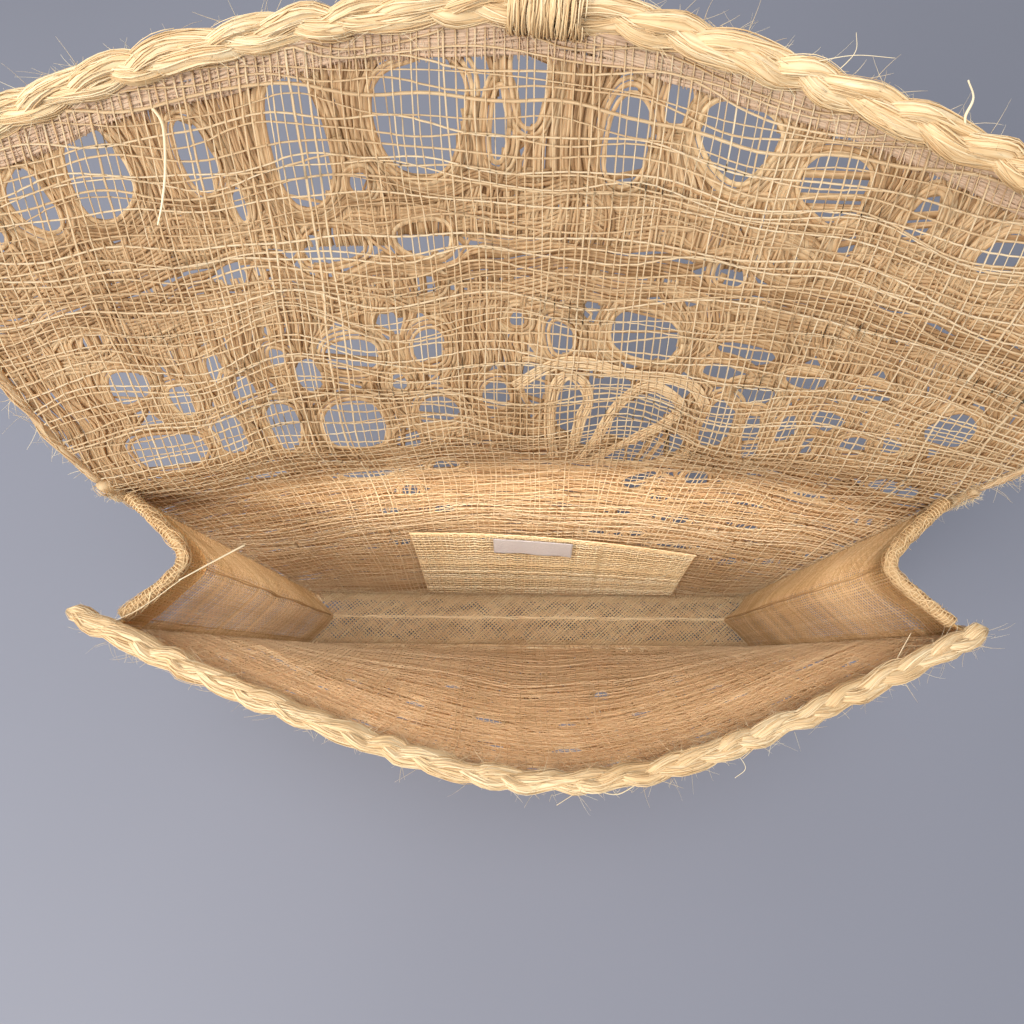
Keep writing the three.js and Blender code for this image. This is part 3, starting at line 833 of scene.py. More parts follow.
def back_straw():
    rng = random_source(51)
    windows = LOWER_ROWS + MIDDLE_ROWS + PETALS
    lower = Openwork(BACK, windows, back_allows(windows, 0, 196, PETALS), rng)
    near = ribbons(0.9, 200, rng)
    far = np.arange(1.2, 200, BAND_PITCH)[:, None]
    lower.level(near, LOWER_BEND, STRAW_WIDTH, NEAR_LAYER, LOWER_FADE)
    lower.level(far, LOWER_BEND, BAND_WIDTH, FAR_LAYER, LOWER_FADE)
    lower.loops(LOWER_ROWS)
    finish_piece(lower.strands, "back_straw_lower", "flat_straw", bend_at_fold, "straw", "back_straw_panel")

    upper = rays(MIDDLE_ROWS, back_allows(MIDDLE_ROWS, 160, 246, PETALS), rng, 162, 246, 0.0016)
    finish_piece(upper, "back_straw_rays", "flat_straw", bend_at_fold, "straw",
                 "back_straw_panel", "flap_straw_panel")

    flower = Strands()
    for knots in PETAL_RIBBONS:
        petal_ribbon(flower, knots, rng)
    finish_piece(flower, "back_straw_flower", "petal_ribbon", bend_at_fold, "straw", "back_straw_panel")


def flap_straw():
    rng = random_source(61)
    windows = UPPER_ROWS + TOP_ROW
    bands = Openwork(BACK, windows, back_allows(windows + MIDDLE_ROWS, 226, 266), rng)
    near = ribbons(218, 296, rng)
    far = np.arange(218.6, 296, BAND_PITCH)[:, None]
    bands.level(near, BEND, STRAW_WIDTH, NEAR_LAYER)
    bands.level(far, BEND, BAND_WIDTH, FAR_LAYER)
    bands.loops(UPPER_ROWS)
    finish_piece(bands.strands, "flap_straw_bands", "flat_straw", "flap", "straw", "flap_straw_panel")

    upper = rays(TOP_ROW, back_allows(TOP_ROW, 246, 400), rng, 228, 316, 0.0022)
    finish_piece(upper, "flap_straw_rays", "flat_straw", "flap", "straw", "flap_straw_panel")


def front_straw():
    rng = random_source(91)
    windows = front_windows()

    def allow(x, t):
        sewn = (np.abs(x) < front_width(t)) & (t > 0.4) & (t < PANEL_HEIGHT - 3)
        return sewn & ~any_holds(windows, x, t, WINDOW_OVERLAP)

    near = Openwork(FRONT, windows, allow, rng)
    near.level(ribbons(0.9, 195, rng, (4, 6), (0.0, 0.35)), FRONT_BEND, 0.72, FRONT_LAYER, contrast=0.5)
    near.loops(windows)
    finish_piece(near.strands, "front_straw_openwork", "front_straw", "front_panel", "straw",
                 "front_straw_panel")

    far = Openwork(FRONT, windows, allow, rng)
    far.upright(np.arange(-150, 151, 1.9)[:, None], -2, 172, 0.001, 1.35, FAR_LAYER, 3)
    finish_piece(far.strands, "front_straw_uprights", "flat_straw", "front_panel", "straw",
                 "front_straw_panel")


# Layers of the tip's hem: depth, half width and step
TIP_HEM_LAYERS = ((0.25, 1.0, 1.2), (0.0, 0.7, 0.95), (-0.25, 0.42, 0.6))
TIP_HEM_EDGE = 0.5


def tip_hem():
    """The lining's own hem: a close band of soft threads under the tip plait, and its raw ends."""
    rng = random_source(65)
    strands = Strands()
    x = np.arange(-172, 173, 2.9)
    sway = Waves(66, 14, 60)
    for depth, size, step in TIP_HEM_LAYERS:
        for drop in np.arange(3.0, 9.6, step):
            own = new_waves(rng, 14, 50, 1, 5)
            t = flap_top(x) - drop - 0.2 * own(x) - 0.4 * sway(x, drop * 6)
            tone = rng.uniform(0.35, 0.7)
            for piece in runs(np.abs(x) < back_width(t) - TIP_HEM_EDGE):
                place, up = BACK.at(x[piece], t[piece], depth + 0.06 * own(x[piece] + 9))
                strands.add(place, up, size * rng.uniform(0.9, 1.2), 0.13, 4, tone)
    for foot in np.arange(-170, 171, 1.2):
        rise = np.linspace(0, 1, 5) * rng.uniform(3, 6)
        across = foot + rng.uniform(-0.5, 0.5) + rng.uniform(-0.25, 0.25) * rise
        level = flap_top(across) - rng.uniform(9.5, 11) + rise
        if np.all(np.abs(across) < back_width(level) - TIP_HEM_EDGE):
            place, up = BACK.at(across, level, rng.uniform(-0.45, -0.2))
            strands.add(place, up, rng.uniform(0.15, 0.3), 0.16, 3, rng.random())
    finish_piece(strands, "flap_tip_hem", "selvage_thread", "flap", "gauze", "flap_gauze_lining")


# Plaits, ropes and rolled hems
class Course:
    """A path in even steps, how far along each point lies, and its own axes."""

    def __init__(self, path, step, up):
        distance = travelled(path)
        self.at = np.linspace(0, distance[-1], max(int(distance[-1] / step), 2) + 1)
        self.path = np.stack([np.interp(self.at, distance, path[:, k]) for k in range(3)], -1)
        self.tangent = unit(np.gradient(self.path, axis=0))
        self.across = unit(np.cross(self.tangent, up))
        self.over = np.cross(self.across, self.tangent)

    def round(self, turn, wide=1.0, high=1.0):
        """Steps away from the path, at an angle about it."""
        return self.across * (np.cos(turn) * wide)[:, None] + self.over * (np.sin(turn) * high)[:, None]


def lay_fibre(strands, path, out, fibre, rng):
    """One fibre of a bundle, in lengths that end here and there, a few of them standing off."""
    start = 0
    tone = rng.random()
    while start < len(path) - 4:
        stop = min(start + rng.integers(9, 45), len(path))
        size = fibre * rng.uniform(0.6, 1.3)
        piece = slice(start, stop)
        lift = rng.uniform(-0.08, 0.12)
        stands_off = (rng.random() < 0.12) * rng.uniform(0.1, 0.35)
        lift = lift + stands_off * np.linspace(-1, 1, stop - start) ** 2
        place = path[piece] + out[piece] * lift[:, None]
        strands.add(place, out[piece], size, size * 0.5, 4, tone, taper=True)
        start = stop - 2


PLAIT_STEP = 2.9
PLAIT_CLOSING = 7.0


def plait(strands, path, up, half_across, half_thick, period, seed, fibres=36, fibre=0.26):
    """A soft plait of three flat bundles of fibres that cross over the middle in turn."""
    rng = random_source(seed)
    course = Course(path, PLAIT_STEP, up)
    at = course.at
    ends = np.clip(np.minimum(at, at[-1] - at) / PLAIT_CLOSING, 0, 1)
    rounded = np.sqrt(1 - (1 - ends) ** 2)
    rough = Waves(seed, 14, 44, 2, 8)
    for k in range(3):
        phase = 2 * math.pi * (at / period + k / 3) + 0.3 * rough(at, 50 * k)
        sideways = half_across * 0.45 * np.sin(phase) * rounded
        lift = half_thick * 0.26 * np.sin(2 * phase) * rounded
        centre = course.path + course.across * sideways[:, None] + course.over * lift[:, None]
        swell = (0.35 + 0.65 * rounded) * (1 + 0.1 * rough(at, 9 * k))
        wide = half_across * 0.5 * swell
        high = half_thick * 0.6 * swell
        strands.add(centre, course.over, wide * 0.94, high * 0.94, 8, 0.6)
        for n in range(fibres):
            drift = rng.uniform(-0.03, 0.03) * at + 0.2 * rough(at, 7 * n)
            twist = 2 * math.pi * (n / fibres + rng.uniform(-0.02, 0.02)) + drift
            out = course.round(twist, wide, high)
            lay_fibre(strands, centre + out, out, fibre, rng)


def soft_roll(strands, path, up, radius, fibres, fibre, seed, swell=None):
    """A roll of frayed cloth: a core under fibres that wander along it."""
    rng = random_source(seed)
    course = Course(path, 1.5, up)
    at = course.at
    rough = Waves(seed, 6, 24, 2, 8)
    size = radius * (1 + 0.13 * rough(at, 0))
    if swell:
        size = size * swell(at / at[-1])
    strands.add(course.path, course.over, size * 0.8, size * 0.8, 8, 0.2)
    for n in range(fibres):
        turn = 2 * math.pi * n / fibres + rng.uniform(0.02, 0.1) * at + 0.5 * rough(at, 9 * n)
        own = size * (1 + 0.09 * rough(at, 5 * n + 200))
        out = course.round(turn, own, own)
        lay_fibre(strands, course.path + out, out, fibre, rng)


def overcast(strands, path, up, radius, pitch, size, seed):
    """A thread wound round a rolled edge in slanting stitches."""
    course = Course(path, pitch / 8, up)
    out = course.round(2 * math.pi * course.at / pitch + 0.8 * Waves(seed, 8, 30, 1, 5)(course.at))
    strands.add(course.path + out * radius, out, size, size * 0.7, 4, 0.8)


def rope(strands, path, up, radius, count, pitch, seed):
    """Strands twisted round a path."""
    rng = random_source(seed)
    course = Course(path, 0.6, up)
    size = radius * math.sin(math.pi / count) / (1 + math.sin(math.pi / count))
    rough = Waves(seed, 8, 30, 2, 6)
    for k in range(count):
        out = course.round(2 * math.pi * (course.at / pitch + k / count))
        swell = 1 + 0.12 * rough(course.at, 20 * k)
        centre = course.path + out * (radius - size)
        strands.add(centre, out, size * 1.12 * swell, size * swell, 8, rng.random())


def line(function, start, stop, count):
    return np.array([function(value) for value in np.linspace(start, stop, count)])


def rim_point(u):
    return front_sheet(half_width(1.0) * u, PANEL_HEIGHT)


def tip_point(u):
    t = BACK_HEIGHT + flap_reach(u)
    return back_sheet(back_width(t) * u, t)


FRONT_SEAM_TOP = 165
BACK_SEAM_TOP = 177
RIM_REACH = 1 + RIM_OVERHANG / half_width(1)


def side_seam(side, y_side, radius, top):
    t = np.linspace(1.2, top, 40)
    v = t / PANEL_HEIGHT
    return np.stack([side * (half_width(v) + radius + 0.45), y_side * half_depth(v), SEAM_LIFT + t], -1)


def front_seam(side):
    return side_seam(side, -1, SIDE_BRAID_RADIUS, FRONT_SEAM_TOP)


def back_seam(side):
    return side_seam(side, 1, BINDING_RADIUS, BACK_SEAM_TOP)


def flap_side(side):
    """The sewn line along one side of the flap."""
    t = np.linspace(BACK_HEIGHT + 1.6, BACK_HEIGHT + flap_reach(1) - 7, 40)
    return back_sheet(side * back_width(t), t) + np.array([side * 1.9, 0, 0])


def knotted_end(share):
    """A binding swells where it ends."""
    return 1 + 0.25 * np.clip((share - 0.94) / 0.04, 0, 1)


def plait_piece(name, body, node, *course, **sizes):
    strands = Strands()
    plait(strands, *course, **sizes)
    finish_piece(strands, name, "plaited_straw", body, "braid", node)


def roll_piece(name, body, node, *course, **sizes):
    strands = Strands()
    soft_roll(strands, *course, **sizes)
    finish_piece(strands, name, "gauze_thread", body, "gauze", node)


def braids():
    path = line(rim_point, -RIM_REACH - 0.035, RIM_REACH - 0.02, 160)
    plait_piece("front_rim_plait", "front_panel", "front_rim_braid", path, UP,
                RIM_RADIUS * 0.9, RIM_RADIUS * 0.86, period=40, seed=101)
    path = line(tip_point, -1, 1, 160)
    plait_piece("flap_tip_plait", "flap", "flap_tip_braid", path, (0, -0.8, 0.6),
                FLAP_BRAID_RADIUS * 0.95, FLAP_BRAID_RADIUS * 0.9, period=48, seed=102)
    for name, side in SIDES:
        plait_piece(f"front_side_plait_{name}", "front_panel", f"front_side_braid_{name}",
                    front_seam(side), (side, 0, 0), SIDE_BRAID_RADIUS, SIDE_BRAID_RADIUS * 0.95,
                    period=32, seed=103 + side, fibres=14, fibre=0.45)
        roll_piece(f"back_side_roll_{name}", "bag_body", f"back_side_binding_{name}",
                   back_seam(side), (side, 0, 0), BINDING_RADIUS,
                   fibres=17, fibre=0.3, seed=110 + side, swell=knotted_end)
    for name, side in (("front", -1), ("back", 1)):
        end = np.array([BASE_WIDTH / 2 + SIDE_BRAID_RADIUS, side * BASE_DEPTH / 2, BOTTOM_BRAID_RADIUS])
        path = np.linspace(end * (-1, 1, 1), end, 60)
        plait_piece(f"bottom_plait_{name}", "bag_body", f"bottom_braid_{name}", path, UP,
                    BOTTOM_BRAID_RADIUS, BOTTOM_BRAID_RADIUS * 0.9,
                    period=36, seed=120 + side, fibres=10, fibre=0.6)


def flap_hems():
    for name, side in SIDES:
        roll_piece(f"flap_side_roll_{name}", "flap", f"flap_hem_{name}", flap_side(side), UP, HEM_RADIUS,
                   fibres=10, fibre=0.36, seed=130 + side)


# Bellows gusset and base
GUSSET_TOP = 164.7
GUSSET_BOTTOM = -1
GUSSET_STEPS = (0.02, 0.5)
HEM_WIDTH = 14
MOUTH_ROLL_RISE = 2.2


def gusset_surface(side):
    """A sheet from the front seam, in to a soft crease and out to the back seam."""
    crumple = Waves(137 + side, 7, 24)

    def place(a, t):
        v = t / PANEL_HEIGHT
        blunt = mix(0.002, 0.07, v)
        root = np.sqrt(blunt)
        pleat = mix(BASE_PLEAT, MOUTH_PLEAT, v) - 0.4
        inward = 0.4 + pleat * (1 - (np.sqrt(a * a + blunt) - root) / (np.sqrt(1 + blunt) - root))
        y = (half_depth(v) - 0.5) * a
        rise = BASE_RIDGE * (1 - v) * (1 - np.abs(a))
        loose = np.clip((1 - a * a) * 2.5, 0, 1) * np.clip((GUSSET_TOP - t) / 12, 0, 1)
        inward = inward - 0.45 * loose * (1 + crumple(12 * a, 0.45 * t))
        return np.stack([side * (half_width(v) - inward), y, SEAM_LIFT + t + rise], -1)

    return place


def sheet_normals(place, a, b, steps):
    across = place(a + steps[0], b) - place(a - steps[0], b)
    along = place(a, b + steps[1]) - place(a, b - steps[1])
    return unit(np.cross(across, along))


def cloth_threads(strands, place, a_values, b_values, steps, widths, wander, seed, lift=0.0):
    """A fine plain weave over a sheet of any shape, with some threads thicker than the rest."""
    rng = random_source(seed)
    a, b = np.meshgrid(a_values, b_values, indexing="ij")
    a = a + wander[0] * Waves(seed, 14, 60)(a * 30, b)
    b = b + wander[1] * Waves(seed + 1, 14, 60)(a * 30, b)
    a = np.clip(a, a_values[0], a_values[-1])
    b = np.clip(b, b_values[0], b_values[-1])
    normal = sheet_normals(place, a, b, steps)
    weave = 0.1 * chessboard(a.shape)[..., None]
    for width, side, axis in ((widths[0], 1, 0), (widths[1], -1, 1)):
        paths = np.moveaxis(place(a, b) + normal * (lift + side * weave), axis, 0)
        for path, up in zip(paths, np.moveaxis(normal, axis, 0)):
            size = thread_size(width, 0.25, rng)
            strands.add(path, up, size, size * 0.6, 3, rng.random())


def gusset_cloth(place, side):
    cloth = Strands()
    levels = np.arange(GUSSET_BOTTOM, GUSSET_TOP, 1.6)
    cloth_threads(cloth, place, np.linspace(-1, 1, 47), levels, GUSSET_STEPS,
                  widths=(0.26, 0.46), wander=(0.006, 0.25), seed=140 + side)
    return cloth


def gusset_hem(place, side):
    """The cloth's turned-in upper edge, in two layers."""
    hem = Strands()
    levels = np.arange(GUSSET_TOP - HEM_WIDTH, GUSSET_TOP, 1.25)
    for layer in (1, 2):
        cloth_threads(hem, place, np.linspace(-1, 1, 51 + 4 * layer), levels, GUSSET_STEPS,
                      widths=(0.36, 0.42), wander=(0.01, 0.5), seed=150 + 3 * side + layer, lift=0.45 * layer)
    return hem


def gusset_crease(place, side):
    """Two threads along the crease, dark as painted shade of the fold."""
    crease = Strands()
    t = np.arange(GUSSET_BOTTOM + 6, GUSSET_TOP, 3.0)
    for turn in range(2):
        path = place(0.03 * (turn - 0.5) + 0.01 * np.sin(0.21 * t + 2 * turn), t)
        crease.add(path - np.array([side * 0.3, 0, 0]), (side, 0, 0), 0.3, 0.22, 4, 0.5 * turn)
    return crease


def mouth_roll(place, side):
    """The rolled edge along the gusset's top, overcast and frayed."""
    roll = Strands()
    a = np.linspace(-0.86, 1, 60)
    path = place(a, 0 * a + GUSSET_TOP)
    path[:, 2] += MOUTH_ROLL_RISE
    soft_roll(roll, path, UP, 2.1, fibres=24, fibre=0.28, seed=160 + side)
    overcast(roll, path, UP, 2.3, pitch=1.35, size=0.24, seed=164 + side)
    fuzz_along(roll, path, 2.2, per_mm=7, longest=2.2, seed=168 + side)
    return roll


# The gusset's pieces: name, look, builder, slot, and the stem of the nodes that they replace
GUSSET_PIECES = (
    ("gusset_cloth", "gusset_thread", gusset_cloth, "gusset_cloth", "gusset"),
    ("gusset_hem", "hem_thread", gusset_hem, "gusset_cloth", "gusset"),
    ("gusset_crease", "crease_painted_shade", gusset_crease, "gusset_cloth", "gusset"),
    ("mouth_roll", "rolled_edge", mouth_roll, "gauze", "mouth_tape"),
)


def gussets():
    for side_name, side in SIDES:
        place = gusset_surface(side)
        for name, look, build, slot, node in GUSSET_PIECES:
            nodes = [f"{node}_{side_name}_{half}" for half in ("front", "back")]
            finish_piece(build(place, side), f"{name}_{side_name}", look, bend_with_mouth, slot, *nodes)


BASE_SEAM = BASE_DEPTH / 2 - 0.3
BASE_HALF = BASE_WIDTH / 2 + 0.5
BASE_STITCH_RISE = np.array([0, 0, 0.3])


def base_surface(x, y):
    rise = 1 - np.sqrt((y / BASE_SEAM) ** 2 + 0.004) / math.sqrt(1.004)
    return np.stack([x, y, SEAM_LIFT + 0.6 + (BASE_RIDGE - 0.6) * rise], -1)


def base_weave(strands):
    """Two layers of threads on the bias."""
    rng = random_source(171)
    y = np.linspace(-BASE_SEAM, BASE_SEAM, 15)
    ruck = Waves(170, 5, 18)
    reach = BASE_HALF + BASE_SEAM
    for layer in (0, 1):
        for direction in (-1, 1):
            for foot in uneven(-reach, reach, 1.6, 2.6, 172 + direction + 5 * layer):
                x = foot + direction * y * (1.15 - 0.25 * layer)
                for piece in runs(np.abs(x) < BASE_HALF - 0.9 * (BASE_SEAM - np.abs(y))):
                    xs = x[piece]
                    ys = y[piece]
                    normal = sheet_normals(base_surface, xs, ys, (0.5, 0.5))
                    size = rng.uniform(0.26, 0.42)
                    lift = 0.12 * direction - 0.5 * layer + 0.18 * ruck(xs, 2 * ys)
                    path = base_surface(xs, ys) + normal * lift[:, None]
                    strands.add(path, normal, size, size * 0.6, 3, 0.3 + 0.7 * rng.random())


def base_cloth():
    """The strip between the bottom seams, creased upward along its middle and whipped there."""
    strands = Strands()
    base_weave(strands)
    x = np.linspace(-BASE_HALF, BASE_HALF, 120)
    for side in (-1, 1):
        seam = np.column_stack([x, 0 * x + side * (BASE_SEAM + 0.1), 0 * x + SEAM_LIFT + 0.75])
        strands.add(seam, UP, 0.8, 0.25, 4, 0.0)
    x = np.linspace(-BASE_HALF + 14, BASE_HALF - 14, 80)
    for turn in range(4):
        sway = Waves(176 + turn, 12, 50, 1, 5)(x)
        crease = base_surface(x, 0.3 * (turn - 1.5) + 0.25 * sway) + BASE_STITCH_RISE
        strands.add(crease, UP, 0.22, 0.2, 4, 1.0)
    for foot in uneven(x[0], x[-1], 1.4, 2.6, 181):
        run = np.linspace(-1, 1, 5)
        stitch = base_surface(foot + 0.9 * run, 0.8 * run) + BASE_STITCH_RISE
        strands.add(stitch, UP, 0.2, 0.16, 3, 1.0, taper=True)
    finish_piece(strands, "base_cloth", "base_thread", "bag_body", "gusset_cloth", "base_strip")


# Pocket and label
POCKET_WIDTH = 138
POCKET_TOP = 77
POCKET_BOTTOM = 3
POCKET_SHIFT = 12
POCKET_SLANT = 0.15
POCKET_DEPTH = -1.95
LABEL_WIDTH = 38.6
LABEL_HEIGHT = 14.5
LABEL_SHIFT = 1
LABEL_DROP = 1.6
LABEL_DEPTH = -2.95
LABEL_THICKNESS = 0.35


def pocket_edge(x):
    """The height of the pocket's edge, which hangs a little askew."""
    return POCKET_TOP - POCKET_SLANT * (x - POCKET_SHIFT)


def pocket_surface(x, share):
    return BACK.at(x, mix(POCKET_BOTTOM, pocket_edge(x), share), POCKET_DEPTH)[0]


def pocket():
    strands = Strands()
    half = POCKET_WIDTH / 2
    columns = POCKET_SHIFT + np.arange(-half, half + 0.1, 1.94)
    cloth_threads(strands, pocket_surface, columns, uneven(0, 1, 0.024, 0.042, 183), (0.5, 0.01),
                  widths=(0.32, 0.55), wander=(0.3, 0.006), seed=181)
    finish_piece(strands, "pocket_gauze", "pocket_thread", "bag_body", "gauze", "inner_pocket")

    hem = Strands()
    x = POCKET_SHIFT + np.linspace(-half, half, 180)
    for turn, rise in enumerate((1.9, 1.2, 0.5)):
        scallop = 0.9 * np.abs(np.sin(x * math.pi / 4.2 + turn))
        path, up = BACK.at(x, pocket_edge(x) + rise + scallop, -2.6 + 0.3 * turn)
        hem.add(path, up, 0.42, 0.34, 5, 0.6 - 0.2 * turn)
    finish_piece(hem, "pocket_roll", "pocket_thread", "bag_body", "gauze", "pocket_hem")


def label():
    """A blank ribbon tacked on at its upper edge, its lower edge a little proud."""
    columns = np.linspace(-LABEL_WIDTH / 2, LABEL_WIDTH / 2, 40) + LABEL_SHIFT
    x, share = np.meshgrid(columns, np.linspace(0, 1, 16), indexing="ij")
    t = pocket_edge(x) - LABEL_DROP - LABEL_HEIGHT * (1 - share)
    droop = (1 - share) ** 2
    ripple = 0.25 * np.sin(x * 0.33) * droop
    back, normal = BACK.at(x, t, LABEL_DEPTH - 0.7 * droop - ripple)
    face = back - normal * LABEL_THICKNESS
    rings = np.concatenate([back, face[:, ::-1]], axis=1)
    strands = Strands()
    strands.add_rings(rings, 0 * rings)
    finish_piece(strands, "ribbon_label", "blank_ribbon", "bag_body", "label_ribbon", "blank_label")


# Closure
LOOP_LENGTH = 30
LOOP_CORD_RADIUS = 1.5
LOOP_START = FLAP_BRAID_RADIUS + 0.3 + LOOP_CORD_RADIUS + 0.75

# The loop's course from one leg round its bow to the other: millimetres across, share of the length out
LOOP_KNOTS = [(-4.5, 0), (-8.5, 0.45), (-6.8, 0.85), (0, 1), (6.8, 0.85), (8.5, 0.45), (4.5, 0)]


def turned(points):
    """Points given along the tip plait's direction, brought to the middle of the tip."""
    along = unit(tip_point(0.02) - tip_point(-0.02))
    turn = Vector((1, 0, 0)).rotation_difference(Vector(along)).to_matrix()
    return np.asarray(points) @ np.array(turn).T


def whipping():
    """Raffia wound round the middle of the tip plait, tufted and uneven at its edges."""
    rng = random_source(175)
    strands = Strands()

    def wind(x, angle, radius, size, tone):
        out = np.column_stack([0 * angle, np.cos(angle), np.sin(angle)])
        path = np.column_stack([x, radius * out[:, 1], radius * out[:, 2]])
        strands.add(turned(path) + tip_point(0), turned(out), size, size * 0.6, 4, tone, taper=True)

    angle = np.linspace(0, 2 * math.pi * 11, 240)
    wind(angle / (2 * math.pi) * 1.7 - 9.4, angle, FLAP_BRAID_RADIUS + 0.7, 0.85, 0.4)
    for _ in range(190):
        sweep = np.linspace(0, rng.uniform(1.4, 3.6), 14)
        x = rng.uniform(-9.8, 9.8) + rng.uniform(-0.5, 0.5) * sweep + 0.25 * np.sin(3 * sweep)
        radius = FLAP_BRAID_RADIUS + rng.uniform(0.9, 1.6)
        wind(x, rng.uniform(0, 2 * math.pi) + sweep, radius, rng.uniform(0.18, 0.36), rng.random())
    finish_piece(strands, "loop_binding", "plaited_straw", "flap", "sewing_thread", "loop_whipping")


def closure_loop():
    away = np.array([0, math.sin(FLAP_TIP_LEAN), math.cos(FLAP_TIP_LEAN)])
    across = turned([[1, 0, 0]])[0]
    course = smooth(LOOP_KNOTS, 90)
    path = tip_point(0) + away * (LOOP_START + LOOP_LENGTH * course[:, 1:2]) + across * course[:, :1]
    strands = Strands()
    rope(strands, path, np.cross(across, away), LOOP_CORD_RADIUS, count=3, pitch=7, seed=191)
    finish_piece(strands, "loop_cord", "plaited_straw", "closure_loop", "braid", "closure_loop")


# The button's outline from its back to its face: radius and height over its seat
BUTTON_OUTLINE = [(4.5, 2.6), (6.8, 2.65), (8.6, 3.1), (9.7, 3.9), (10, 4.6), (9.6, 5.5), (8.6, 6.05),
                  (7.8, 6.2), (7.2, 6.0), (6.4, 5.6), (4, 5.35), (1.5, 5.3)]
BUTTON_HEIGHT = PANEL_HEIGHT - (FLAP_LENGTH - 10) - 15
BUTTON_SEAT = 2.45
SHANK_TURNS = 4
SHANK_RADIUS = 1.15
SHANK_LENGTH = 1.9


def button():
    seat, normal = FRONT.at(0.0, BUTTON_HEIGHT, BUTTON_SEAT)
    turn = np.array(Vector(UP).rotation_difference(Vector(normal)).to_matrix()).T
    angle = 2 * math.pi * np.arange(64) / 64
    rings = np.array([np.column_stack([r * np.cos(angle), r * np.sin(angle), 0 * angle + z])
                      for r, z in BUTTON_OUTLINE]) @ turn + seat
    strands = Strands()
    strands.add_rings(rings, 0 * rings)
    finish_piece(strands, "turned_button", "turned_wood", "front_panel", "button_wood", "button")

    shank = Strands()
    angle = np.linspace(0, 2 * math.pi * SHANK_TURNS, SHANK_TURNS * 20)
    out = np.column_stack([np.cos(angle), np.sin(angle), 0 * angle])
    rise = 0.35 + np.linspace(0, SHANK_LENGTH, len(angle))
    coil = SHANK_RADIUS * out + rise[:, None] * UP
    shank.add(coil @ turn + seat, out @ turn, 0.32, 0.4, 6, 0.5)
    finish_piece(shank, "button_thread", "gauze_thread", "front_panel", "sewing_thread", "button_shank")


# Loose fibres
def hair(strands, start, direction, length, radius, rng):
    """A fine fibre that stands off and bends."""
    s = np.linspace(0, 1, max(int(length / 2), 5))[:, None]
    side = unit(np.cross(direction, rng.normal(size=3)))
    other = np.cross(direction, side)
    path = (start + direction * length * s + side * length * rng.uniform(-0.3, 0.3) * s ** 2
            + other * length * rng.uniform(-0.2, 0.2) * s ** 3)
    size = radius * (1 - 0.6 * s[:, 0])
    strands.add(path, side, size, size, 3, rng.random())


def fuzz_along(strands, path, radius, per_mm, longest, seed, thickness=0.09):
    """Fine fibres that stand off a round edge all along its path."""
    rng = random_source(seed)
    course = Course(path, 1.0, (0.1, 0.2, 1))
    for _ in range(int(course.at[-1] * per_mm)):
        n = rng.integers(2, len(course.path) - 2)
        angle = rng.uniform(0, 2 * math.pi)
        out = course.across[n] * math.cos(angle) + course.over[n] * math.sin(angle)
        direction = unit(out * rng.uniform(0.3, 1) + course.tangent[n] * rng.uniform(-1.4, 1.4))
        length = longest * rng.uniform(0.25, 1) ** 2
        start = course.path[n] + out * radius * 0.8
        hair(strands, start, direction, length, thickness * rng.uniform(0.6, 1.3), rng)


# Single strands that stand off the bag: their body, half thickness and course in millimetres
LONG_STRANDS = {
    "flap": [
        (0.45, [(-103, 100.5, 277), (-98, 92.5, 279), (-96.3, 81, 278), (-96.8, 72.6, 276),
                (-99, 67.7, 272.5)]),
        (0.45, [(102.1, 83, 285.6), (100.3, 86.8, 288.3), (101.2, 90, 290.9), (98.8, 92.6, 293.6)]),
        (0.15, [(63.7, 98.4, 293.1), (73.2, 100, 293.4), (82.8, 99.4, 293.2)]),
        (0.13, [(68.5, 97, 289.8), (73.9, 102, 292.1), (74.8, 107.8, 292.5)]),
        (0.2, [(-52, 114, 284), (-50, 119, 288), (-52, 124, 290)]),
    ],
    "front_panel": [
        (0.3, [(44, -67, 168), (42, -70, 161), (38.8, -73.4, 159.5), (30, -78.9, 158), (23, -77.9, 158.5),
               (21.7, -75.6, 159)]),
        (0.2, [(23, -72, 160), (19.6, -75.3, 159), (14.3, -79, 158), (8, -83, 157)]),
        (0.18, [(69, -59, 174), (70, -64, 166), (73.6, -69.6, 162), (70, -73, 161)]),
        (0.2, [(120, -39, 172), (122.3, -35.4, 175), (125.4, -29, 178), (128.8, -24, 178)]),
        (0.15, [(-20, -72, 162), (-14, -76, 160), (-5, -77.5, 158)]),
        (0.4, [(-101.6, 3.9, 183), (-110.6, -3.1, 187), (-119.5, -10.2, 191)]),
        (0.13, [(-118.5, -9.5, 190.6), (-134, -19, 185.5), (-147, -23, 179)]),
    ],
    "bag_body": [
        (0.23, [(80, 23.2, 73), (69, 18.6, 44), (52, 17, 30)]),
    ],
}


def finish_fuzz(strands, name, body):
    """Adds the body's long strands and makes the piece."""
    for size, knots in LONG_STRANDS[body]:
        path = smooth(knots, 8 * len(knots))
        narrowing = np.linspace(1, 0.6, len(path))
        strands.add(path, (0.2, 0.3, 1), size * narrowing, size * 0.7 * narrowing, 5, 0.8)
    finish_piece(strands, name, "loose_fibre", body, "straw")


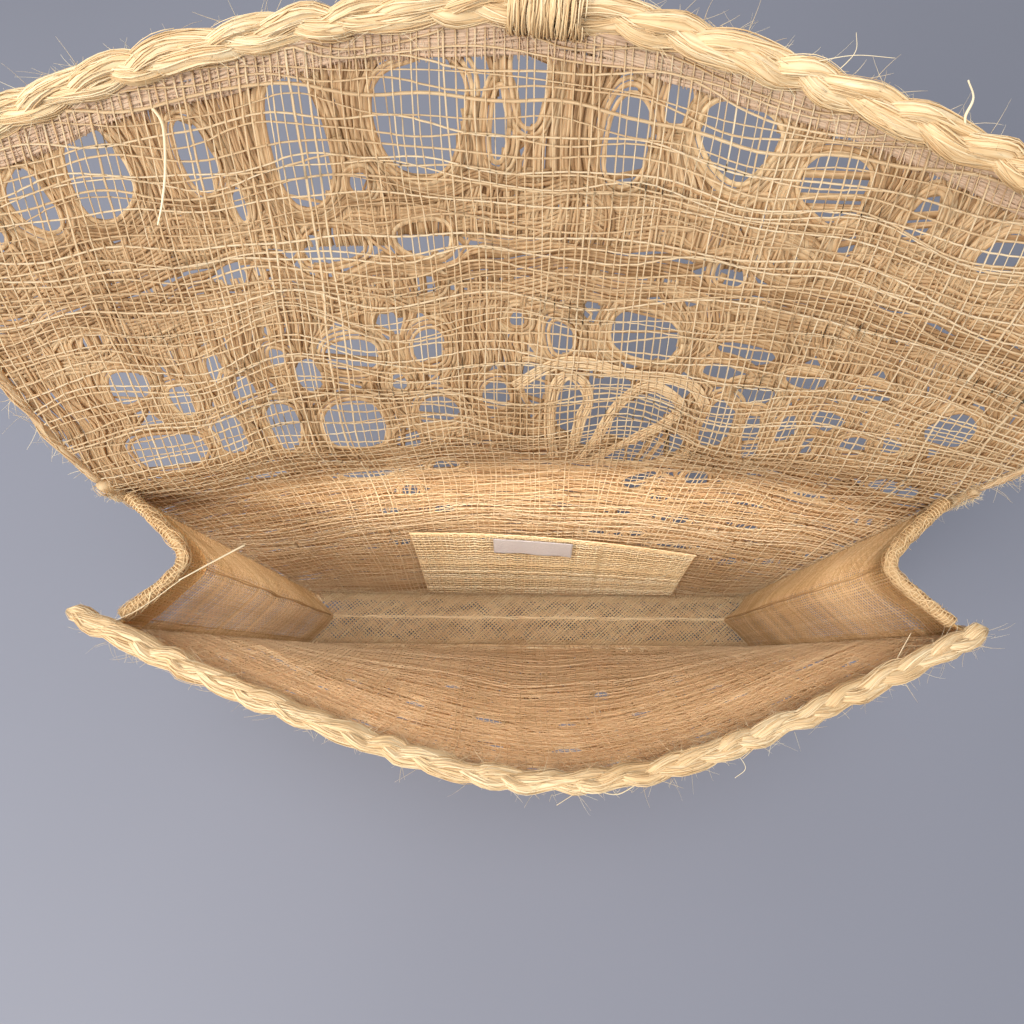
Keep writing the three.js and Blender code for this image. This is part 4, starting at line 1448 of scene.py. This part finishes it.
def loose_fibres():
    front = Strands()
    flap = Strands()
    body = Strands()
    rim = line(rim_point, -RIM_REACH, RIM_REACH, 120)
    fuzz_along(front, rim, RIM_RADIUS, per_mm=2.2, longest=8, seed=201, thickness=0.07)
    tip = line(tip_point, -1, 1, 120)
    fuzz_along(flap, tip, FLAP_BRAID_RADIUS, per_mm=2.4, longest=9, seed=211, thickness=0.07)
    for _, side in SIDES:
        seam = back_seam(side)
        fuzz_along(front, front_seam(side), SIDE_BRAID_RADIUS, per_mm=0.6, longest=6, seed=203 + side)
        fuzz_along(flap, flap_side(side), HEM_RADIUS, per_mm=2.4, longest=9, seed=213 + side)
        fuzz_along(body, seam, BINDING_RADIUS, per_mm=1.6, longest=5, seed=221 + side)
        fuzz_along(body, seam[-4:], BINDING_RADIUS * 1.3, per_mm=30, longest=3.6, seed=231 + side,
                   thickness=0.1)
    finish_fuzz(front, "front_fuzz", "front_panel")
    finish_fuzz(flap, "flap_fuzz", "flap")
    finish_fuzz(body, "body_fuzz", "bag_body")


# Floor, light and camera
FLOOR_HALF = 3.0
SCENE_MIDDLE = (0, 0, 0.15)
FOCAL_PIXELS = 750
IMAGE_PIXELS = 1024
CAMERA_PLACE = (np.array([-5.99, -52.3, 438.1]) + ORIGIN) * MM
CAMERA_PITCH = math.radians(74.9)
CAMERA_YAW = math.radians(-2.05)
CAMERA_ROLL = math.radians(-1.55)


def stage():
    corners = [(-FLOOR_HALF, -FLOOR_HALF, 0), (FLOOR_HALF, -FLOOR_HALF, 0),
               (FLOOR_HALF, FLOOR_HALF, 0), (-FLOOR_HALF, FLOOR_HALF, 0)]
    mesh = bpy.data.meshes.new("floor")
    mesh.from_pydata(corners, [], [(0, 1, 2, 3)])
    mesh.materials.append(floor_material())
    floor = bpy.data.objects.new("floor", mesh)
    bpy.context.scene.collection.objects.link(floor)


def area_light(name, place, target, size, power, colour):
    light = bpy.data.lights.new(name, "AREA")
    light.shape = "DISK"
    light.size = size
    light.energy = power
    light.color = colour
    lamp = bpy.data.objects.new(name, light)
    bpy.context.scene.collection.objects.link(lamp)
    lamp.location = place
    lamp.rotation_euler = (Vector(target) - Vector(place)).to_track_quat("-Z", "Y").to_euler()
    return light


def lights():
    world = bpy.data.worlds.new("studio")
    bpy.context.scene.world = world
    world.use_nodes = True
    background = world.node_tree.nodes["Background"]
    background.inputs["Color"].default_value = (0.93, 0.96, 1.0, 1.0)
    background.inputs["Strength"].default_value = 0.85
    area_light("window", (-0.75, -0.6, 0.95), SCENE_MIDDLE, size=0.7, power=18, colour=(1.0, 0.96, 0.9))
    area_light("overhead", (0.05, 0.05, 1.4), SCENE_MIDDLE, size=0.6, power=6, colour=(0.97, 0.98, 1.0))
    mouth = Vector(((ORIGIN + [0, -2, 166]) * MM).tolist())
    bounce = area_light("bounce", mouth, mouth - Vector(UP), size=0.23, power=0.18, colour=(1.0, 0.95, 0.88))
    bounce.shape = "ELLIPSE"
    bounce.size_y = 0.04
    bpy.context.scene.view_settings.view_transform = "Standard"


def camera():
    data = bpy.data.cameras.new("camera")
    data.sensor_width = 36
    data.lens = data.sensor_width * FOCAL_PIXELS / IMAGE_PIXELS
    data.clip_start = 0.005
    item = bpy.data.objects.new("camera", data)
    bpy.context.scene.collection.objects.link(item)
    ahead = Vector((math.sin(CAMERA_YAW), math.cos(CAMERA_YAW), 0))
    forward = ahead * math.cos(CAMERA_PITCH) - Vector((0, 0, math.sin(CAMERA_PITCH)))
    right = Vector((math.cos(CAMERA_YAW), -math.sin(CAMERA_YAW), 0))
    up = right.cross(forward)
    level = right * math.cos(CAMERA_ROLL) + up * math.sin(CAMERA_ROLL)
    upright = up * math.cos(CAMERA_ROLL) - right * math.sin(CAMERA_ROLL)
    axes = Matrix((level, upright, -forward)).transposed()
    item.matrix_world = Matrix.Translation(CAMERA_PLACE) @ axes.to_4x4()
    bpy.context.scene.camera = item


camera()
lights()
stage()
back_gauze()
front_gauze()
back_straw()
flap_straw()
tip_hem()
front_straw()
braids()
flap_hems()
gussets()
base_cloth()
pocket()
label()
whipping()
closure_loop()
button()
loose_fibres()
